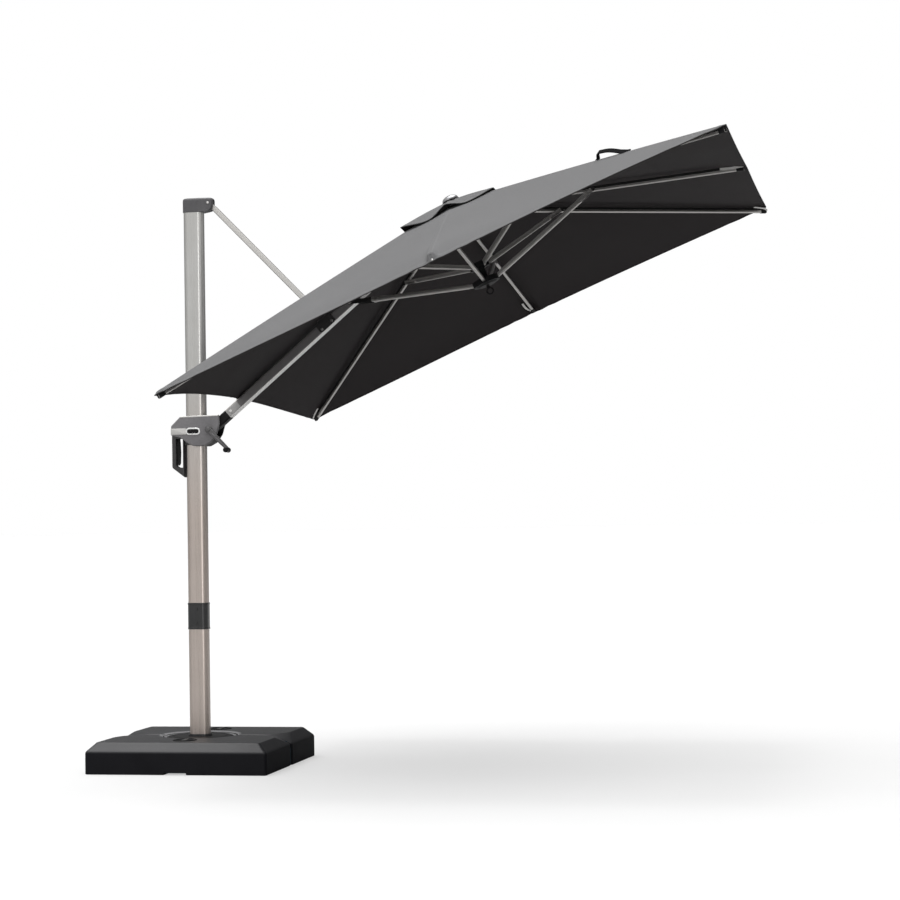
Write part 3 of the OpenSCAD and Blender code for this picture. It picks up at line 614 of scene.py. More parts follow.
def rrect(l, w, r, seg=6):
    """Rounded rectangle, counter-clockwise, as points (x, y)."""
    pts = []
    for cx, cy, a0 in ((l / 2 - r, w / 2 - r, 0), (-l / 2 + r, w / 2 - r, 90), (-l / 2 + r, -w / 2 + r, 180), (l / 2 - r, -w / 2 + r, 270)):
        for k in range(seg + 1):
            a = rad(a0 + 90 * k / seg)
            pts.append((cx + r * cos(a), cy + r * sin(a)))
    return np.array(pts)


def cylinder(name, r, z0, z1, centre=(0, 0), seg=96, r2=None):
    a = np.arange(seg) * math.tau / seg
    r2 = r if r2 is None else r2
    lo = np.stack([centre[0] + r * np.cos(a), centre[1] + r * np.sin(a), np.full(seg, z0)], 1)
    hi = np.stack([centre[0] + r2 * np.cos(a), centre[1] + r2 * np.sin(a), np.full(seg, z1)], 1)
    return loft(name, [lo, hi], [])


def lathe(name, profile, mat, place=plain, seg=64, centre=(0, 0, 0), axis="z", angle=35.0):
    """profile is (radius, height) pairs from the bottom axis point to the top axis point."""
    a = np.arange(seg) * math.tau / seg
    loops = []
    for r, h in profile:
        c, s = np.cos(a) * max(r, 1e-5), np.sin(a) * max(r, 1e-5)
        if axis == "z":
            p = np.stack([c, s, np.full(seg, h)], 1)
        elif axis == "y":
            p = np.stack([c, np.full(seg, h), -s], 1)
        else:
            p = np.stack([np.full(seg, h), c, s], 1)
        loops.append(p + np.array(centre))
    ob = loft(name, loops, mat, True, place, angle)
    bm = bmesh.new()
    bm.from_mesh(ob.data)
    bmesh.ops.remove_doubles(bm, verts=bm.verts, dist=2e-5)
    bmesh.ops.dissolve_degenerate(bm, edges=bm.edges, dist=1e-6)
    bm.to_mesh(ob.data)
    bm.free()
    return ob


def rounded(poly, r, seg=5):
    """Polygon with its corners rounded; r is one radius or one for each corner."""
    poly = np.asarray(poly, float)
    n, out = len(poly), []
    for i in range(n):
        p, a, b = poly[i], poly[i - 1], poly[(i + 1) % n]
        ri = r if np.isscalar(r) else r[i]
        u, v = (a - p) / np.linalg.norm(a - p), (b - p) / np.linalg.norm(b - p)
        ang = math.acos(np.clip(u @ v, -1, 1))
        t = min(ri / math.tan(ang / 2), 0.45 * np.linalg.norm(a - p), 0.45 * np.linalg.norm(b - p))
        rr = t * math.tan(ang / 2)
        w = (u + v) / max(np.linalg.norm(u + v), 1e-9)
        c = p + w * rr / math.sin(ang / 2)
        s0, s1 = p + u * t - c, p + v * t - c
        a0, a1 = math.atan2(s0[1], s0[0]), math.atan2(s1[1], s1[0])
        d = (a1 - a0 + math.pi) % math.tau - math.pi
        for k in range(seg + 1):
            q = a0 + d * k / seg
            out.append(c + rr * np.array([math.cos(q), math.sin(q)]))
    return np.array(out)


def inset(poly, d):
    """Polygon moved inwards by d, corner by corner."""
    poly = np.asarray(poly, float)
    if d == 0:
        return poly
    area = 0.5 * np.sum(poly[:, 0] * np.roll(poly[:, 1], -1) - np.roll(poly[:, 0], -1) * poly[:, 1])
    e = np.roll(poly, -1, 0) - poly
    e /= np.maximum(np.linalg.norm(e, axis=1), 1e-9)[:, None]
    nrm = np.stack([-e[:, 1], e[:, 0]], 1) * (1 if area > 0 else -1)
    m = nrm + np.roll(nrm, 1, 0)
    m /= np.maximum((m * m).sum(1) / 2, 0.35)[:, None]
    return poly + m * d


def plate(name, poly, steps, mat, place=plain, plane="xz", angle=34.0):
    """Outline carried through (position, inset) steps along the third axis."""
    loops = []
    for pos, ins in steps:
        q = inset(poly, ins)
        if plane == "xz":
            loops.append(np.stack([q[:, 0], np.full(len(q), pos), q[:, 1]], 1))
        elif plane == "xy":
            loops.append(np.stack([q[:, 0], q[:, 1], np.full(len(q), pos)], 1))
        else:
            loops.append(np.stack([np.full(len(q), pos), q[:, 0], q[:, 1]], 1))
    return loft(name, loops, mat, True, place, angle)


def put(ob, body, *nodes):
    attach(ob, body)
    if nodes:
        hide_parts(*nodes)
    return ob


def mm(*pts):
    return np.array(pts, float) / 1000


def box_cutter(lo, hi):
    x0, y0, z0 = lo
    x1, y1, z1 = hi
    v = [(x0, y0, z0), (x1, y0, z0), (x1, y1, z0), (x0, y1, z0), (x0, y0, z1), (x1, y0, z1), (x1, y1, z1), (x0, y1, z1)]
    return new_object("cutter", v, [(3, 2, 1, 0), (4, 5, 6, 7), (0, 1, 5, 4), (1, 2, 6, 5), (2, 3, 7, 6), (3, 0, 4, 7)], [])


# ------------------------------------------------------------------ canopy
def rib_line(k):
    """Hem point and apex point of the cloth over rib k, in the canopy's own frame."""
    k %= 8
    az, mid = rad(45 * k), k % 2 == 0
    r, s = (HALF, MID_S) if mid else (HALF * math.sqrt(2), COR_S)
    lift = 0.030 if k == 4 else 0.016
    apex = 0.046 if k == 4 else 0.030
    return (
        np.array([r * cos(az), r * sin(az), -(r - PR) * math.tan(s) + lift + 0.001]),
        np.array([0, 0, apex + 0.001]),
    )


def smooth01(x):
    x = np.clip(x, 0, 1)
    return x * x * (3 - 2 * x)


def wander(x, y, seed):
    """Smooth small-scale unevenness, the same every run."""
    rng = np.random.default_rng(seed)
    z = np.zeros_like(x)
    for _ in range(9):
        a, f, ph = rng.uniform(0, math.tau), rng.uniform(2.0, 9.0), rng.uniform(0, math.tau)
        z += np.sin((x * math.cos(a) + y * math.sin(a)) * f + ph) / f
    return z


# how far the hem lies below the plane of the ribs at each rib end, and how the hem runs between them
DROP = [0.019, -0.003, 0.022, 0.010, 0.006, 0.007, 0.031, 0.001]
RISE = [0.002, 0.004, 0.002, 0.003, 0.011, 0.002, 0.011, 0.002]
BOW = [0.002, 0.005, 0.003, 0.003, 0.008, 0.003, 0.009, 0.002]


def sheet_point(g, t, s, d=None):
    """The cloth's middle surface. g: gore from rib g to g + 1; t: 0..1 across; s: 0..1 from the apex to the hem; d: distance to the nearest rib seam."""
    h0, a0 = rib_line(g)
    h1, a1 = rib_line(g + 1)
    t, s = np.asarray(t, float)[..., None], np.asarray(s, float)[..., None]
    belly = np.sin(math.pi * t)
    s2 = s * (1 - BOW[g % 8] * belly * s**8)
    hem = h0 * (1 - t) + h1 * t
    apex = a0 * (1 - t) + a1 * t
    p = apex * (1 - s2) + hem * s2
    sag = 0.0085 * belly**1.3 * (4 * s2 * (1 - s2)) ** 0.8 + 0.0035 * belly * s2**3
    p[..., 2:3] += 0.014 * (1 - np.clip(s2, 0, 1) ** 2.2) - sag
    # the hem is pulled down past the rib ends; over a rib it turns down only at the rib's own end
    inward = np.clip(1.3 * (1 - s), 0, None)
    span = np.linalg.norm(h1 - h0) * s
    lap = [0.022 if k % 8 == 6 else 0.034 for k in (g, g + 1)]
    by_rib = np.exp(-((t * span / lap[0]) ** 4)) + np.exp(-(((1 - t) * span / lap[1]) ** 4))
    drop = DROP[g % 8] * (1 - t) + DROP[(g + 1) % 8] * t - RISE[g % 8] * belly
    wide_turn = np.clip(1 - inward / 0.20, 0, 1) ** 1.8
    short_turn = smooth01(1 - inward / 0.0125)
    p[..., 2:3] -= drop * (by_rib * short_turn + (1 - by_rib) * wide_turn)
    x, y = p[..., 0], p[..., 1]
    away = np.clip(belly[..., 0], 0, 1)
    p[..., 2] += 0.0022 * away * wander(x, y, 11)
    # short tension folds that run in from each rib tip
    for tt, seed in ((t[..., 0], 0.0), (1 - t[..., 0], 1.7)):
        near = np.exp(-((1 - s[..., 0]) / 0.11) ** 2) * np.exp(-(tt / 0.16) ** 2) * smooth01(tt / 0.015)
        p[..., 2] += 0.0016 * near * np.sin(tt * 95 + seed)
    return p


HEM_ROWS = [0.16, 0.12, 0.09, 0.065, 0.045, 0.034, 0.0245, 0.0225, 0.0165, 0.0125, 0.0085, 0.0045, 0.002, 0.0]


def half_gore(k, side, s0, s1, rows, cols, point, hem=True, dists=(0.0, 0.003, 0.006, 0.0092, 0.0106, 0.016)):
    """Grid of middle-surface points from rib k out to the split line, with seam and hem relief. Returns P[rows, cols, 3], UV[rows, cols, 2], lift[rows, cols]."""
    mid = k % 2 == 0
    ts = T22 if mid else 1 - T22
    g = k if side > 0 else k - 1
    h0, _ = rib_line(k)
    h1, _ = rib_line(k + side)
    width = ts * np.linalg.norm(h1 - h0)
    s = list(np.linspace(s0, s1, rows))
    if hem:
        s = [x for x in s if x < 1 - 0.185 / 1.3] + [1 - x / 1.3 for x in HEM_ROWS]
    s = np.array(s)
    a_near = np.array(dists)
    P, UV, L = [], [], []
    for si in s:
        w = width * si
        near = np.minimum(a_near / w, 0.9)
        rest = near[-1] + (1 - near[-1]) * np.linspace(0, 1, cols + 1)[1:] ** 1.05
        a = np.concatenate([near, rest])
        t = a * ts if side > 0 else 1 - a * ts
        P.append(point(g, t, np.full_like(t, si)))
        d = a * w
        UV.append(np.stack([d * side, np.full_like(d, (1 - si) * 1.305)], 1))
        lift = 0.0009 * (1 - smooth01((d - 0.0088) / 0.0022)) - (0.0012 if not mid else 0.0006) * np.clip(1 - d / 0.016, 0, 1) ** 2
        if hem:
            v = (1 - si) * 1.3
            lift = lift + 0.0009 * (1 - smooth01((v - 0.0222) / 0.0022))
        L.append(lift)
    return np.array(P), np.array(UV), np.array(L)


def sector_mesh(name, k, parts, mats, thick=0.0011, skip=None):
    """Closed two-layer cloth from the two half gores of rib k."""
    (Pa, Ua, La), (Pb, Ub, Lb) = parts
    # left half reversed, then the right half without its first column
    P = np.concatenate([Pb[:, ::-1], Pa[:, 1:]], 1)
    U = np.concatenate([Ub[:, ::-1], Ua[:, 1:]], 1)
    L = np.concatenate([Lb[:, ::-1], La[:, 1:]], 1)
    R, C = P.shape[:2]
    top = P.copy()
    top[..., 2] += L + thick / 2
    low = P.copy()
    low[..., 2] -= thick / 2
    verts = np.concatenate([top.reshape(-1, 3), low.reshape(-1, 3)])
    uvs = np.concatenate([U.reshape(-1, 2)] * 2)
    n = R * C
    faces, index, smooth = [], [], []
    keep = np.ones((R - 1, C - 1), bool)
    if skip is not None:
        centre = (P[:-1, :-1] + P[1:, :-1] + P[:-1, 1:] + P[1:, 1:]) / 4
        keep = ~skip(centre)
    for r in range(R - 1):
        for c in range(C - 1):
            if not keep[r, c]:
                continue
            i = r * C + c
            faces.append((i, i + 1, i + C + 1, i + C))
            index.append(0)
            faces.append((n + i + C, n + i + C + 1, n + i + 1, n + i))
            index.append(1)
    rim = []
    for r in range(R - 1):
        for c in range(C - 1):
            if not keep[r, c]:
                continue
            i = r * C + c
            for dr, dc, e0, e1 in ((-1, 0, i, i + 1), (1, 0, i + C + 1, i + C), (0, -1, i + C, i), (0, 1, i + 1, i + C + 1)):
                rr, cc = r + dr, c + dc
                if not (0 <= rr < R - 1 and 0 <= cc < C - 1) or not keep[rr, cc]:
                    rim.append((e1, e0, n + e0, n + e1))
    faces += rim
    index += [0] * len(rim)
    ob = new_object(name, canopy_world(verts), faces, mats, index, True, uvs)
    bm = bmesh.new()
    bm.from_mesh(ob.data)
    bm.verts.ensure_lookup_table()
    loose = [v for v in bm.verts if not v.link_faces]
    bmesh.ops.delete(bm, geom=loose, context="VERTS")
    for e in bm.edges:
        if len(e.link_faces) == 2 and e.calc_face_angle(0.0) > rad(50):
            e.smooth = False
    bm.to_mesh(ob.data)
    bm.free()
    a, b, c, d = P[:-1, :-1], P[1:, :-1], P[1:, 1:], P[:-1, 1:]
    area = 0.5 * (np.linalg.norm(np.cross(b - a, c - a), axis=-1) + np.linalg.norm(np.cross(c - a, d - a), axis=-1))
    return ob, float(area[keep].sum())


VENT_LIFT = [0.0195, 0.0150, 0.0195, 0.0195, 0.0195, 0.0210, 0.0225, 0.0050]


def vent_edge(g, t):
    """Edge of the raised vent cap over gore g."""
    t = np.asarray(t, float)
    kv = 0.222 / HALF
    base = sheet_point(g, t, np.full_like(t, kv))
    mid_first = g % 2 == 0
    tm = t if mid_first else 1 - t  # 0 at the side rib, 1 at the corner rib
    a = np.where(tm <= T22, tm / T22, (1 - tm) / (1 - T22))
    tg = T22 if mid_first else 1 - T22
    amp = np.where(t <= tg, VENT_LIFT[g % 8], VENT_LIFT[(g + 1) % 8])
    off = 0.0065 + amp * (1 - smooth01(a) ** 0.85)
    base[..., 2] += off
    return base


def vent_point(g, t, s):
    """s: 0 at the middle of the cap, 1 at its edge."""
    e = vent_edge(g, t)
    top = np.array([0, 0, 0.056])
    s = np.asarray(s, float)[..., None]
    p = top * (1 - s) + e * s
    p[..., 2:3] += 0.0035 * np.sin(math.pi * s)
    return p


def rib_dir(k):
    az = rad(45 * k)
    return cos(az) * CU + sin(az) * CV


def tangent(k):
    az = rad(45 * k)
    return -sin(az) * CU + cos(az) * CV


def tube_along(name, pts, r, mat, seg=10, place=plain, caps=True, flat=None):
    """Round tube along a line of points; flat=(w, h) gives a flattened section."""
    pts = place(np.asarray(pts, float))
    n = len(pts)
    tan = np.gradient(pts, axis=0)
    tan /= np.linalg.norm(tan, axis=1)[:, None]
    up = np.array([0, 0, 1.0])
    loops = []
    a = np.arange(seg) * math.tau / seg
    for i in range(n):
        x = np.cross(tan[i], up)
        x /= np.linalg.norm(x)
        y = np.cross(x, tan[i])
        rr = r if np.isscalar(r) else r[i]
        w, h = (rr, rr) if flat is None else flat
        loops.append(pts[i] + np.outer(np.cos(a) * w, x) + np.outer(np.sin(a) * h, y))
    return loft(name, loops, mat, caps, plain, 60)


def make_canopy():
    for k in range(8):
        nm = NAMES[k]
        body = "arm" if nm == "w" else "rib_" + nm
        mid = k % 2 == 0
        s0 = 0.110 / HALF

        slit = None
        if nm == "w":
            ear_x, ear_h = 0.7199, 0.0695

            def slit(c):
                w = canopy_world(c)
                rel = w - PIV
                x = rel[..., 0] * cos(ARM_S) + rel[..., 2] * sin(ARM_S)
                return (np.abs(x - ear_x) < 0.0235) & (np.abs(c[..., 1]) < 0.0170)

        rows = 40
        dists = (0.0, 0.003, 0.006, 0.0092, 0.0106, 0.016, 0.023, 0.030, 0.037, 0.045)
        if nm == "w":
            rows = 90
            dists = (0.0, 0.003, 0.006, 0.0092, 0.0106, 0.016, 0.023, 0.030, 0.034, 0.037, 0.045)
        parts = [half_gore(k, side, s0, 1.0, rows, 13, sheet_point, True, dists) for side in (1, -1)]
        ob, area = sector_mesh("canopy_cloth_" + nm, k, parts, [M["cloth_top"], M["cloth_under"]], skip=slit)
        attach(ob, body)
        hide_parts("canopy_" + nm)
        ts = T22 if mid else 1 - T22
        h0, _ = rib_line(k)
        h1, _ = rib_line(k + 1)

        # rolled hem along the sector's edge
        edge = []
        for side in (-1, 1):
            P = parts[0 if side > 0 else 1][0][-1]
            edge.append(P if side > 0 else P[::-1])
        line = np.concatenate([edge[0], edge[1][1:]])
        line[:, 2] -= 0.0008
        hem = tube_along("hem_" + nm, line, 0.0026, M["binding"], 8, canopy_world)
        # painted shade: the hem's downward faces take the darker underside canvas
        hem.data.materials.append(M["cloth_under"])
        for f in hem.data.polygons:
            if f.normal.z < -0.25:
                f.material_index = 1
        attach(hem, body)
        sewn = make_tip(k)
        if nm == "se":
            sewn.append(make_tie_strap())
        if mid and nm != "w":
            make_rivet(k)

        r_anchor = (PR + 0.3 * cos(MID_S)) * np.array([cos(rad(45 * k)), sin(rad(45 * k)), 0])
        anchor = canopy_world(r_anchor)
        tuple(tangent(k))
        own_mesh(ob)
        tuple(tangent(k))
        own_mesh(hem)

        # vent cap: outer part on the rib, inner collar between crown and rib
        def part(q0, q1, rows, hemmed):
            out = []
            for side in (1, -1):
                ts = T22 if mid else 1 - T22
                g = k if side > 0 else k - 1
                P, U, L = [], [], []
                for q in np.linspace(q0, q1, rows):
                    w = 0.222 / HALF * HALF * (T22 if mid else math.sqrt(2) * 0.5858) * q
                    near = np.minimum(np.array([0, 0.004, 0.0075, 0.0095]) / max(w, 1e-4), [0, 0.25, 0.42, 0.55])
                    a = np.concatenate([near, near[-1] + (1 - near[-1]) * np.linspace(0, 1, 9)[1:]])
                    t = a * ts if side > 0 else 1 - a * ts
                    P.append(vent_point(g, t, np.full_like(t, q)))
                    d = a * w
                    U.append(np.stack([d * side, np.full_like(d, (1 - q) * 0.225 + (0 if hemmed else 0.1))], 1))
                    lift = 0.0008 * (1 - smooth01((d - 0.0075) / 0.002))
                    if hemmed:
                        lift = lift + 0.0008 * (1 - smooth01(((1 - q) * 0.225 - 0.0215) / 0.002))
                    L.append(lift)
                out.append((np.array(P), np.array(U), np.array(L)))
            return out

        qc = 0.40
        vp = part(qc, 1.0, 26, True)
        vent, va = sector_mesh("vent_cloth_" + nm, k, vp, [M["cloth_top"], M["cloth_under"]], 0.0011)
        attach(vent, body)
        line = np.concatenate([vp[1][0][-1][::-1], vp[0][0][-1][1:]])
        vhem = tube_along("vent_hem_" + nm, line, 0.0022, M["binding"], 8, canopy_world)
        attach(vhem, body)
        tuple(tangent(k))
        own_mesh(vent)
        tuple(tangent(k))
        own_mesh(vhem)
        cp = part(0.085, qc, 14, False)
        col, ca = sector_mesh("vent_collar_" + nm, k, cp, [M["cloth_top"], M["cloth_under"]], 0.0011)
        out = rib_dir(k)
        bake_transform(col)



# ------------------------------------------------------------------ base
BX0, BX1, BY, BTOP, BSHIFT = -0.403, 0.427, 0.415, 0.138, 0.012


def half_outline(s, out, seam, z):
    """Outline of one tank half: out is the inset of the three outer walls, seam that of the wall at the middle."""
    x0, x1 = BX0 + out, BX1 - out
    ya, yb = 0.0012 + seam, BY - out
    poly = [(x0, ya), (x1, ya), (x1, yb), (x0, yb)]
    rs = 0.026 + 0.112 * max(0.0, (z - 0.096) / 0.042) ** 1.1
    q = rounded(poly, [rs, rs, 0.013, 0.013], 10)
    if s < 0:
        q = q[::-1] * np.array([1, -1])
    return np.concatenate([q, np.full((len(q), 1), z)], 1)


def tank_half(s, name, wall=0.0):
    slope = (0.039 - 0.003) / (0.1355 - 0.1005)
    steps = [(0, 0.003, 0.002), (0.001, 0.0012, 0.0008), (0.003, 0, 0), (0.0893, 0, 0), (0.0932, 0.00038, 0), (0.09695, 0.00152, 0), (0.1004, 0.00337, 0), (0.10344, 0.0060, 0)]
    for z in (0.108, 0.116):
        steps.append((z, 0.003 + (z - 0.1005) * slope, 0))
    steps += [(0.121, 0.003 + 0.0205 * slope, 0.0014), (0.129, 0.003 + 0.0285 * slope, 0.0075), (0.1352, 0.0386, 0.0142), (0.1371, 0.0412, 0.0172), (0.138, 0.0440, 0.0210)]
    loops = [half_outline(s, o + wall, i + wall, z) for z, o, i in steps]
    if wall:
        lo, hi = wall, BTOP - wall
        loops = [l * np.array([1, 1, 0]) + np.array([0, 0, lo + (l[0, 2] / BTOP) * (hi - lo)]) for l in loops]
    return loft(name, loops, M["tank"], True, plain, 40)


def make_base():
    for s, word in ((-1, "front"), (1, "rear")):
        ob = tank_half(s, word + "_tank_shell")
        hollow = tank_half(s, "hollow", 0.005)
        neck = cylinder("neck", 0.061, 0.104, 0.150, (BSHIFT, s * 0.265), 48)
        mid = cylinder("mid", 0.164, -0.01, 0.16, (0, 0), 96)
        sill = box_cutter((-0.162, -0.162, -0.01), (0.162, 0.162, 0.020))
        foot = box_cutter((BSHIFT - 0.062, s * BY - 0.106 * (s > 0) - 0.04 * (s < 0), -0.01), (BSHIFT + 0.062, s * BY + 0.106 * (s < 0) + 0.04 * (s > 0), 0.020))
        boolean(hollow, [neck, mid, sill, foot])
        cuts = [
            hollow,
            cylinder("hole", 0.062, -0.01, 0.16, (0, 0), 96),
            cylinder("well", 0.151, 0.122, 0.16, (0, 0), 128),
            cylinder("dish", 0.150, 0.1268, 0.1390, (0, 0), 128, 0.188),
            box_cutter((-0.153, -0.153, -0.01), (0.153, 0.153, 0.012)),
            cylinder("bore", 0.040, 0.098, 0.16, (BSHIFT, s * 0.265), 64),
            cylinder("seat", 0.0530, 0.1328, 0.16, (BSHIFT, s * 0.265), 96, 0.0620),
            plate("notch", rounded([(-0.056, -0.02), (0.056, -0.02), (0.050, 0.0115), (-0.050, 0.0115)], [0.001, 0.001, 0.004, 0.004], 4) + np.array([BSHIFT, 0]), [(s * (BY - 0.100), 0), (s * (BY + 0.014), 0)], []),
        ]
        boolean(ob, cuts)
        # the sloped faces of the dish rim get the lighter grey, a painted highlight for the rim's glints
        ob.data.materials.append(M["tank_rim"])
        for f in ob.data.polygons:
            c = f.center
            if 0.150 < math.hypot(c.x, c.y) < 0.188 and 0.1262 < c.z < 0.1379 and 0.5 < f.normal.z < 0.999:
                f.material_index = len(ob.data.materials) - 1
        sharpen(ob, 28)
        weighted(ob)
        put(ob, "base", word + "_tank")

        # filler cap: knurled rim, sunk middle and a grip bar across it
        prof = [(0, 116), (39.5, 116), (39.5, 133.4), (50.5, 133.4), (51.8, 134.2), (52, 136), (52, 139.4), (51.2, 141), (49.5, 141.9), (42.5, 142), (40.6, 141.2), (39.4, 139), (38.6, 137.6), (36, 137), (0, 137.2)]
        cap = lathe(word + "_filler_lid", mm(*prof), M["deep"], plain, 144, (BSHIFT, s * 0.265, 0), "z", 30)
        for v in cap.data.vertices:
            dx, dy = v.co.x - BSHIFT, v.co.y - s * 0.265
            r = math.hypot(dx, dy)
            if r > 0.0505:
                k = 1 - 0.022 * max(0.0, math.cos(36 * math.atan2(dy, dx))) ** 2
                v.co.x, v.co.y = BSHIFT + dx * k, s * 0.265 + dy * k
        put(cap, word + "_cap", word + "_filler_cap")
        bar = plate(word + "_lid_bar", rrect(0.018, 0.076, 0.008, 6), [(0.1365, 0.0), (0.1402, 0.0), (0.1414, 0.0008), (0.1419, 0.0025)], M["gloss"], plain, "xy")
        bar.data.transform(Matrix.Translation((BSHIFT, s * 0.265, 0)))
        put(bar, word + "_cap")


# ------------------------------------------------------------------ mast head
def make_mast_cap():
    levels = [(2516, 48, 1.2), (2517.2, 49, 0), (2519, 62, 0), (2522, 82, 0), (2527, 88.5, 0), (2536, 92.5, 0), (2547, 94, 0), (2566, 94, 0), (2573, 93.2, 0.4), (2577, 91.5, 2.0), (2579.8, 89, 5.0), (2581.4, 85, 10), (2582, 76, 18)]
    loops = []
    for z, x1, ins in levels:
        poly = [(-48 + ins, -33 + ins), (28, -33 + ins), (62 if x1 > 64 else x1 - 2, (-28.6 if x1 > 64 else -31) + ins), (x1, (-27.6 if x1 > 64 else -30) + ins)]
        poly += [(x, -y) for x, y in poly[::-1]]
        q = rounded(poly, [22, 40, 20, 9, 9, 20, 40, 22], 6)
        loops.append(np.concatenate([q, np.full((len(q), 1), z)], 1) / 1000)
    ob = loft("mast_head", loops, M["cap"], True, plain, 34)
    seat = plate("seat", rrect(0.0903, 0.0603, 0.02015, 8), [(2.50, 0), (2.5203, 0)], [], plain, "xy")
    slot = box_cutter((0.053, -0.0085, 2.49), (0.12, 0.0085, 2.572))
    boolean(ob, [seat, slot])
    sharpen(ob, 30)
    weighted(ob)
    put(ob, "mast", "mast_cap")
    prof = mm((0, -30.5), (3.2, -30.4), (5.4, -29.8), (6.3, -28.6), (6.4, -27.2), (5.9, -27.1), (5.9, 27.1), (6.4, 27.2), (6.3, 28.6), (5.4, 29.8), (3.2, 30.4), (0, 30.5))
    pin = lathe("cap_pivot", prof, M["steel"], plain, 36, (0.074, 0, 2.5575), "y", 30)
    put(pin, "mast", "cap_pin")


# ------------------------------------------------------------------ carriage
COVER = np.array([[-62, 61], [120, 66], [123, 26], [110, -20], [86, -56], [52, -74], [0, -74], [-30, -60], [-60, -36], [-106, -24], [-106, 18]], float)


def carriage(p):
    return np.asarray(p, float) + np.array([0, 0, 1.522])


def make_carriage():
    face = rounded(COVER / 1000, [0.010, 0.012, 0.02, 0.03, 0.03, 0.02, 0.03, 0.03, 0.016, 0.004, 0.006], 6)
    near = plate("side_cover_near", face, [(-0.0390, 0.0008), (-0.0398, 0), (-0.0482, 0), (-0.0500, 0.0008), (-0.0512, 0.0024), (-0.0518, 0.0045), (-0.0520, 0.0072)], M["grey"], carriage)
    put(near, "carriage", "near_cover")
    far = plate("side_cover_far", face, [(0.0390, 0.0008), (0.0398, 0), (0.0482, 0), (0.0500, 0.0008), (0.0512, 0.0024), (0.0518, 0.0045), (0.0520, 0.0072)], M["deep"], carriage)
    put(far, "carriage", "far_cover")

    # black shell between the covers, below the arm's travel
    shell = rounded(mm((50.5, -73.4), (52, -73.4), (85.4, -55.4), (104.6, -29), (98.6, -29), (81.5, -50.5), (51.5, -66.5), (50.5, -66.5)), 0.0006, 2)
    put(plate("carriage_shell", shell, [(-0.0392, 0.0), (0.0392, 0.0)], M["deep"], carriage), "carriage")

    # bright strip along the top edge, turned over the cover
    strip = mm((-62.5, 61.4), (-60.5, 55.4), (114, 60.2), (119.5, 60.6), (120.3, 66.4))
    strip = rounded(strip, [0.0015, 0.001, 0.003, 0.003, 0.003], 3)
    put(plate("cover_top_strip", strip, [(-0.0400, 0.0), (-0.0522, 0.0), (-0.0529, 0.0007), (-0.0530, 0.0014)], M["trim"], carriage), "carriage")

    # satin band with a blank oval badge
    band = rounded(mm((-106.2, -21), (-34, -21), (-34, 7), (-106.2, 7)), [0.0012, 0.001, 0.001, 0.0012], 3)
    ob = plate("satin_band", band, [(-0.0505, 0.0), (-0.0528, 0.0), (-0.0534, 0.0006), (-0.0536, 0.0014)], M["band"], carriage)
    put(ob, "carriage", "trim_band")

    def stadium(half, r, seg=14):
        pts = []
        for k in range(seg + 1):
            a = -math.pi / 2 + math.pi * k / seg
            pts.append((half + r * math.cos(a), r * math.sin(a)))
        for k in range(seg + 1):
            a = math.pi / 2 + math.pi * k / seg
            pts.append((-half + r * math.cos(a), r * math.sin(a)))
        return np.array(pts) + np.array([-0.001, -0.007])

    ring = plate("badge_ring", stadium(0.018, 0.016), [(-0.0512, 0.0), (-0.0541, 0.0), (-0.0546, 0.0007), (-0.0547, 0.0018)], M["ring"], carriage)
    hole = plate("hole", stadium(0.0175, 0.0102), [(-0.0525, 0.0), (-0.0600, 0.0)], [])
    hole.data.transform(Matrix.Translation((0, 0, 1.522)))
    boolean(ring, [hole])
    sharpen(ring, 30)
    put(ring, "carriage")
    put(plate("badge_insert", stadium(0.0175, 0.0101), [(-0.0515, 0.0), (-0.0531, 0.0), (-0.0536, 0.0006), (-0.0537, 0.0016)], M["deep"], carriage), "carriage")

    # closed grip
    outer = rounded(mm((-114, -20), (-114, -170), (-56, -214), (-51.4, -215.4), (-51.4, -22)), [0.008, 0.014, 0.006, 0.0015, 0.001], 7)
    grip = plate("grip_body", outer, [(-0.0170, 0.0042), (-0.0164, 0.0022), (-0.0150, 0.0008), (-0.0128, 0.0), (0.0128, 0.0), (0.0150, 0.0008), (0.0164, 0.0022), (0.0170, 0.0042)], M["grip"], carriage)
    inner = rounded(mm((-95.5, -37), (-95.5, -162), (-84, -171), (-60.5, -174), (-60.5, -37)), [0.004, 0.005, 0.006, 0.006, 0.006], 7)
    cut = plate("cut", inner, [(-0.030, 0.0), (-0.0170, 0.0), (-0.0130, 0.0024), (0.0130, 0.0024), (0.0170, 0.0), (0.030, 0.0)], [], carriage)
    slot = box_cutter((-0.0961, -0.0064, 1.462), (-0.0720, 0.0064, 1.500))
    cuts = [cut, slot, box_cutter((-0.0990, -0.0143, 1.3545), (-0.0700, 0.0143, 1.4955))]
    for z in range(-164, -56, 9):
        cuts.append(box_cutter((-0.1165, -0.020, 1.522 + z / 1000), (-0.1120, 0.020, 1.522 + (z + 3.2) / 1000)))
    boolean(grip, cuts)
    sharpen(grip, 30)
    put(grip, "carriage", "grip_handle")

    # crank: flat tapering arm with a low boss, and a waisted knob
    def crank(p):
        p = np.asarray(p, float)
        a = rad(45)
        ax, az = np.array([cos(a), 0, -sin(a)]), np.array([sin(a), 0, cos(a)])
        return PIV + p[..., 0:1] * ax + p[..., 1:2] * CV + p[..., 2:3] * az

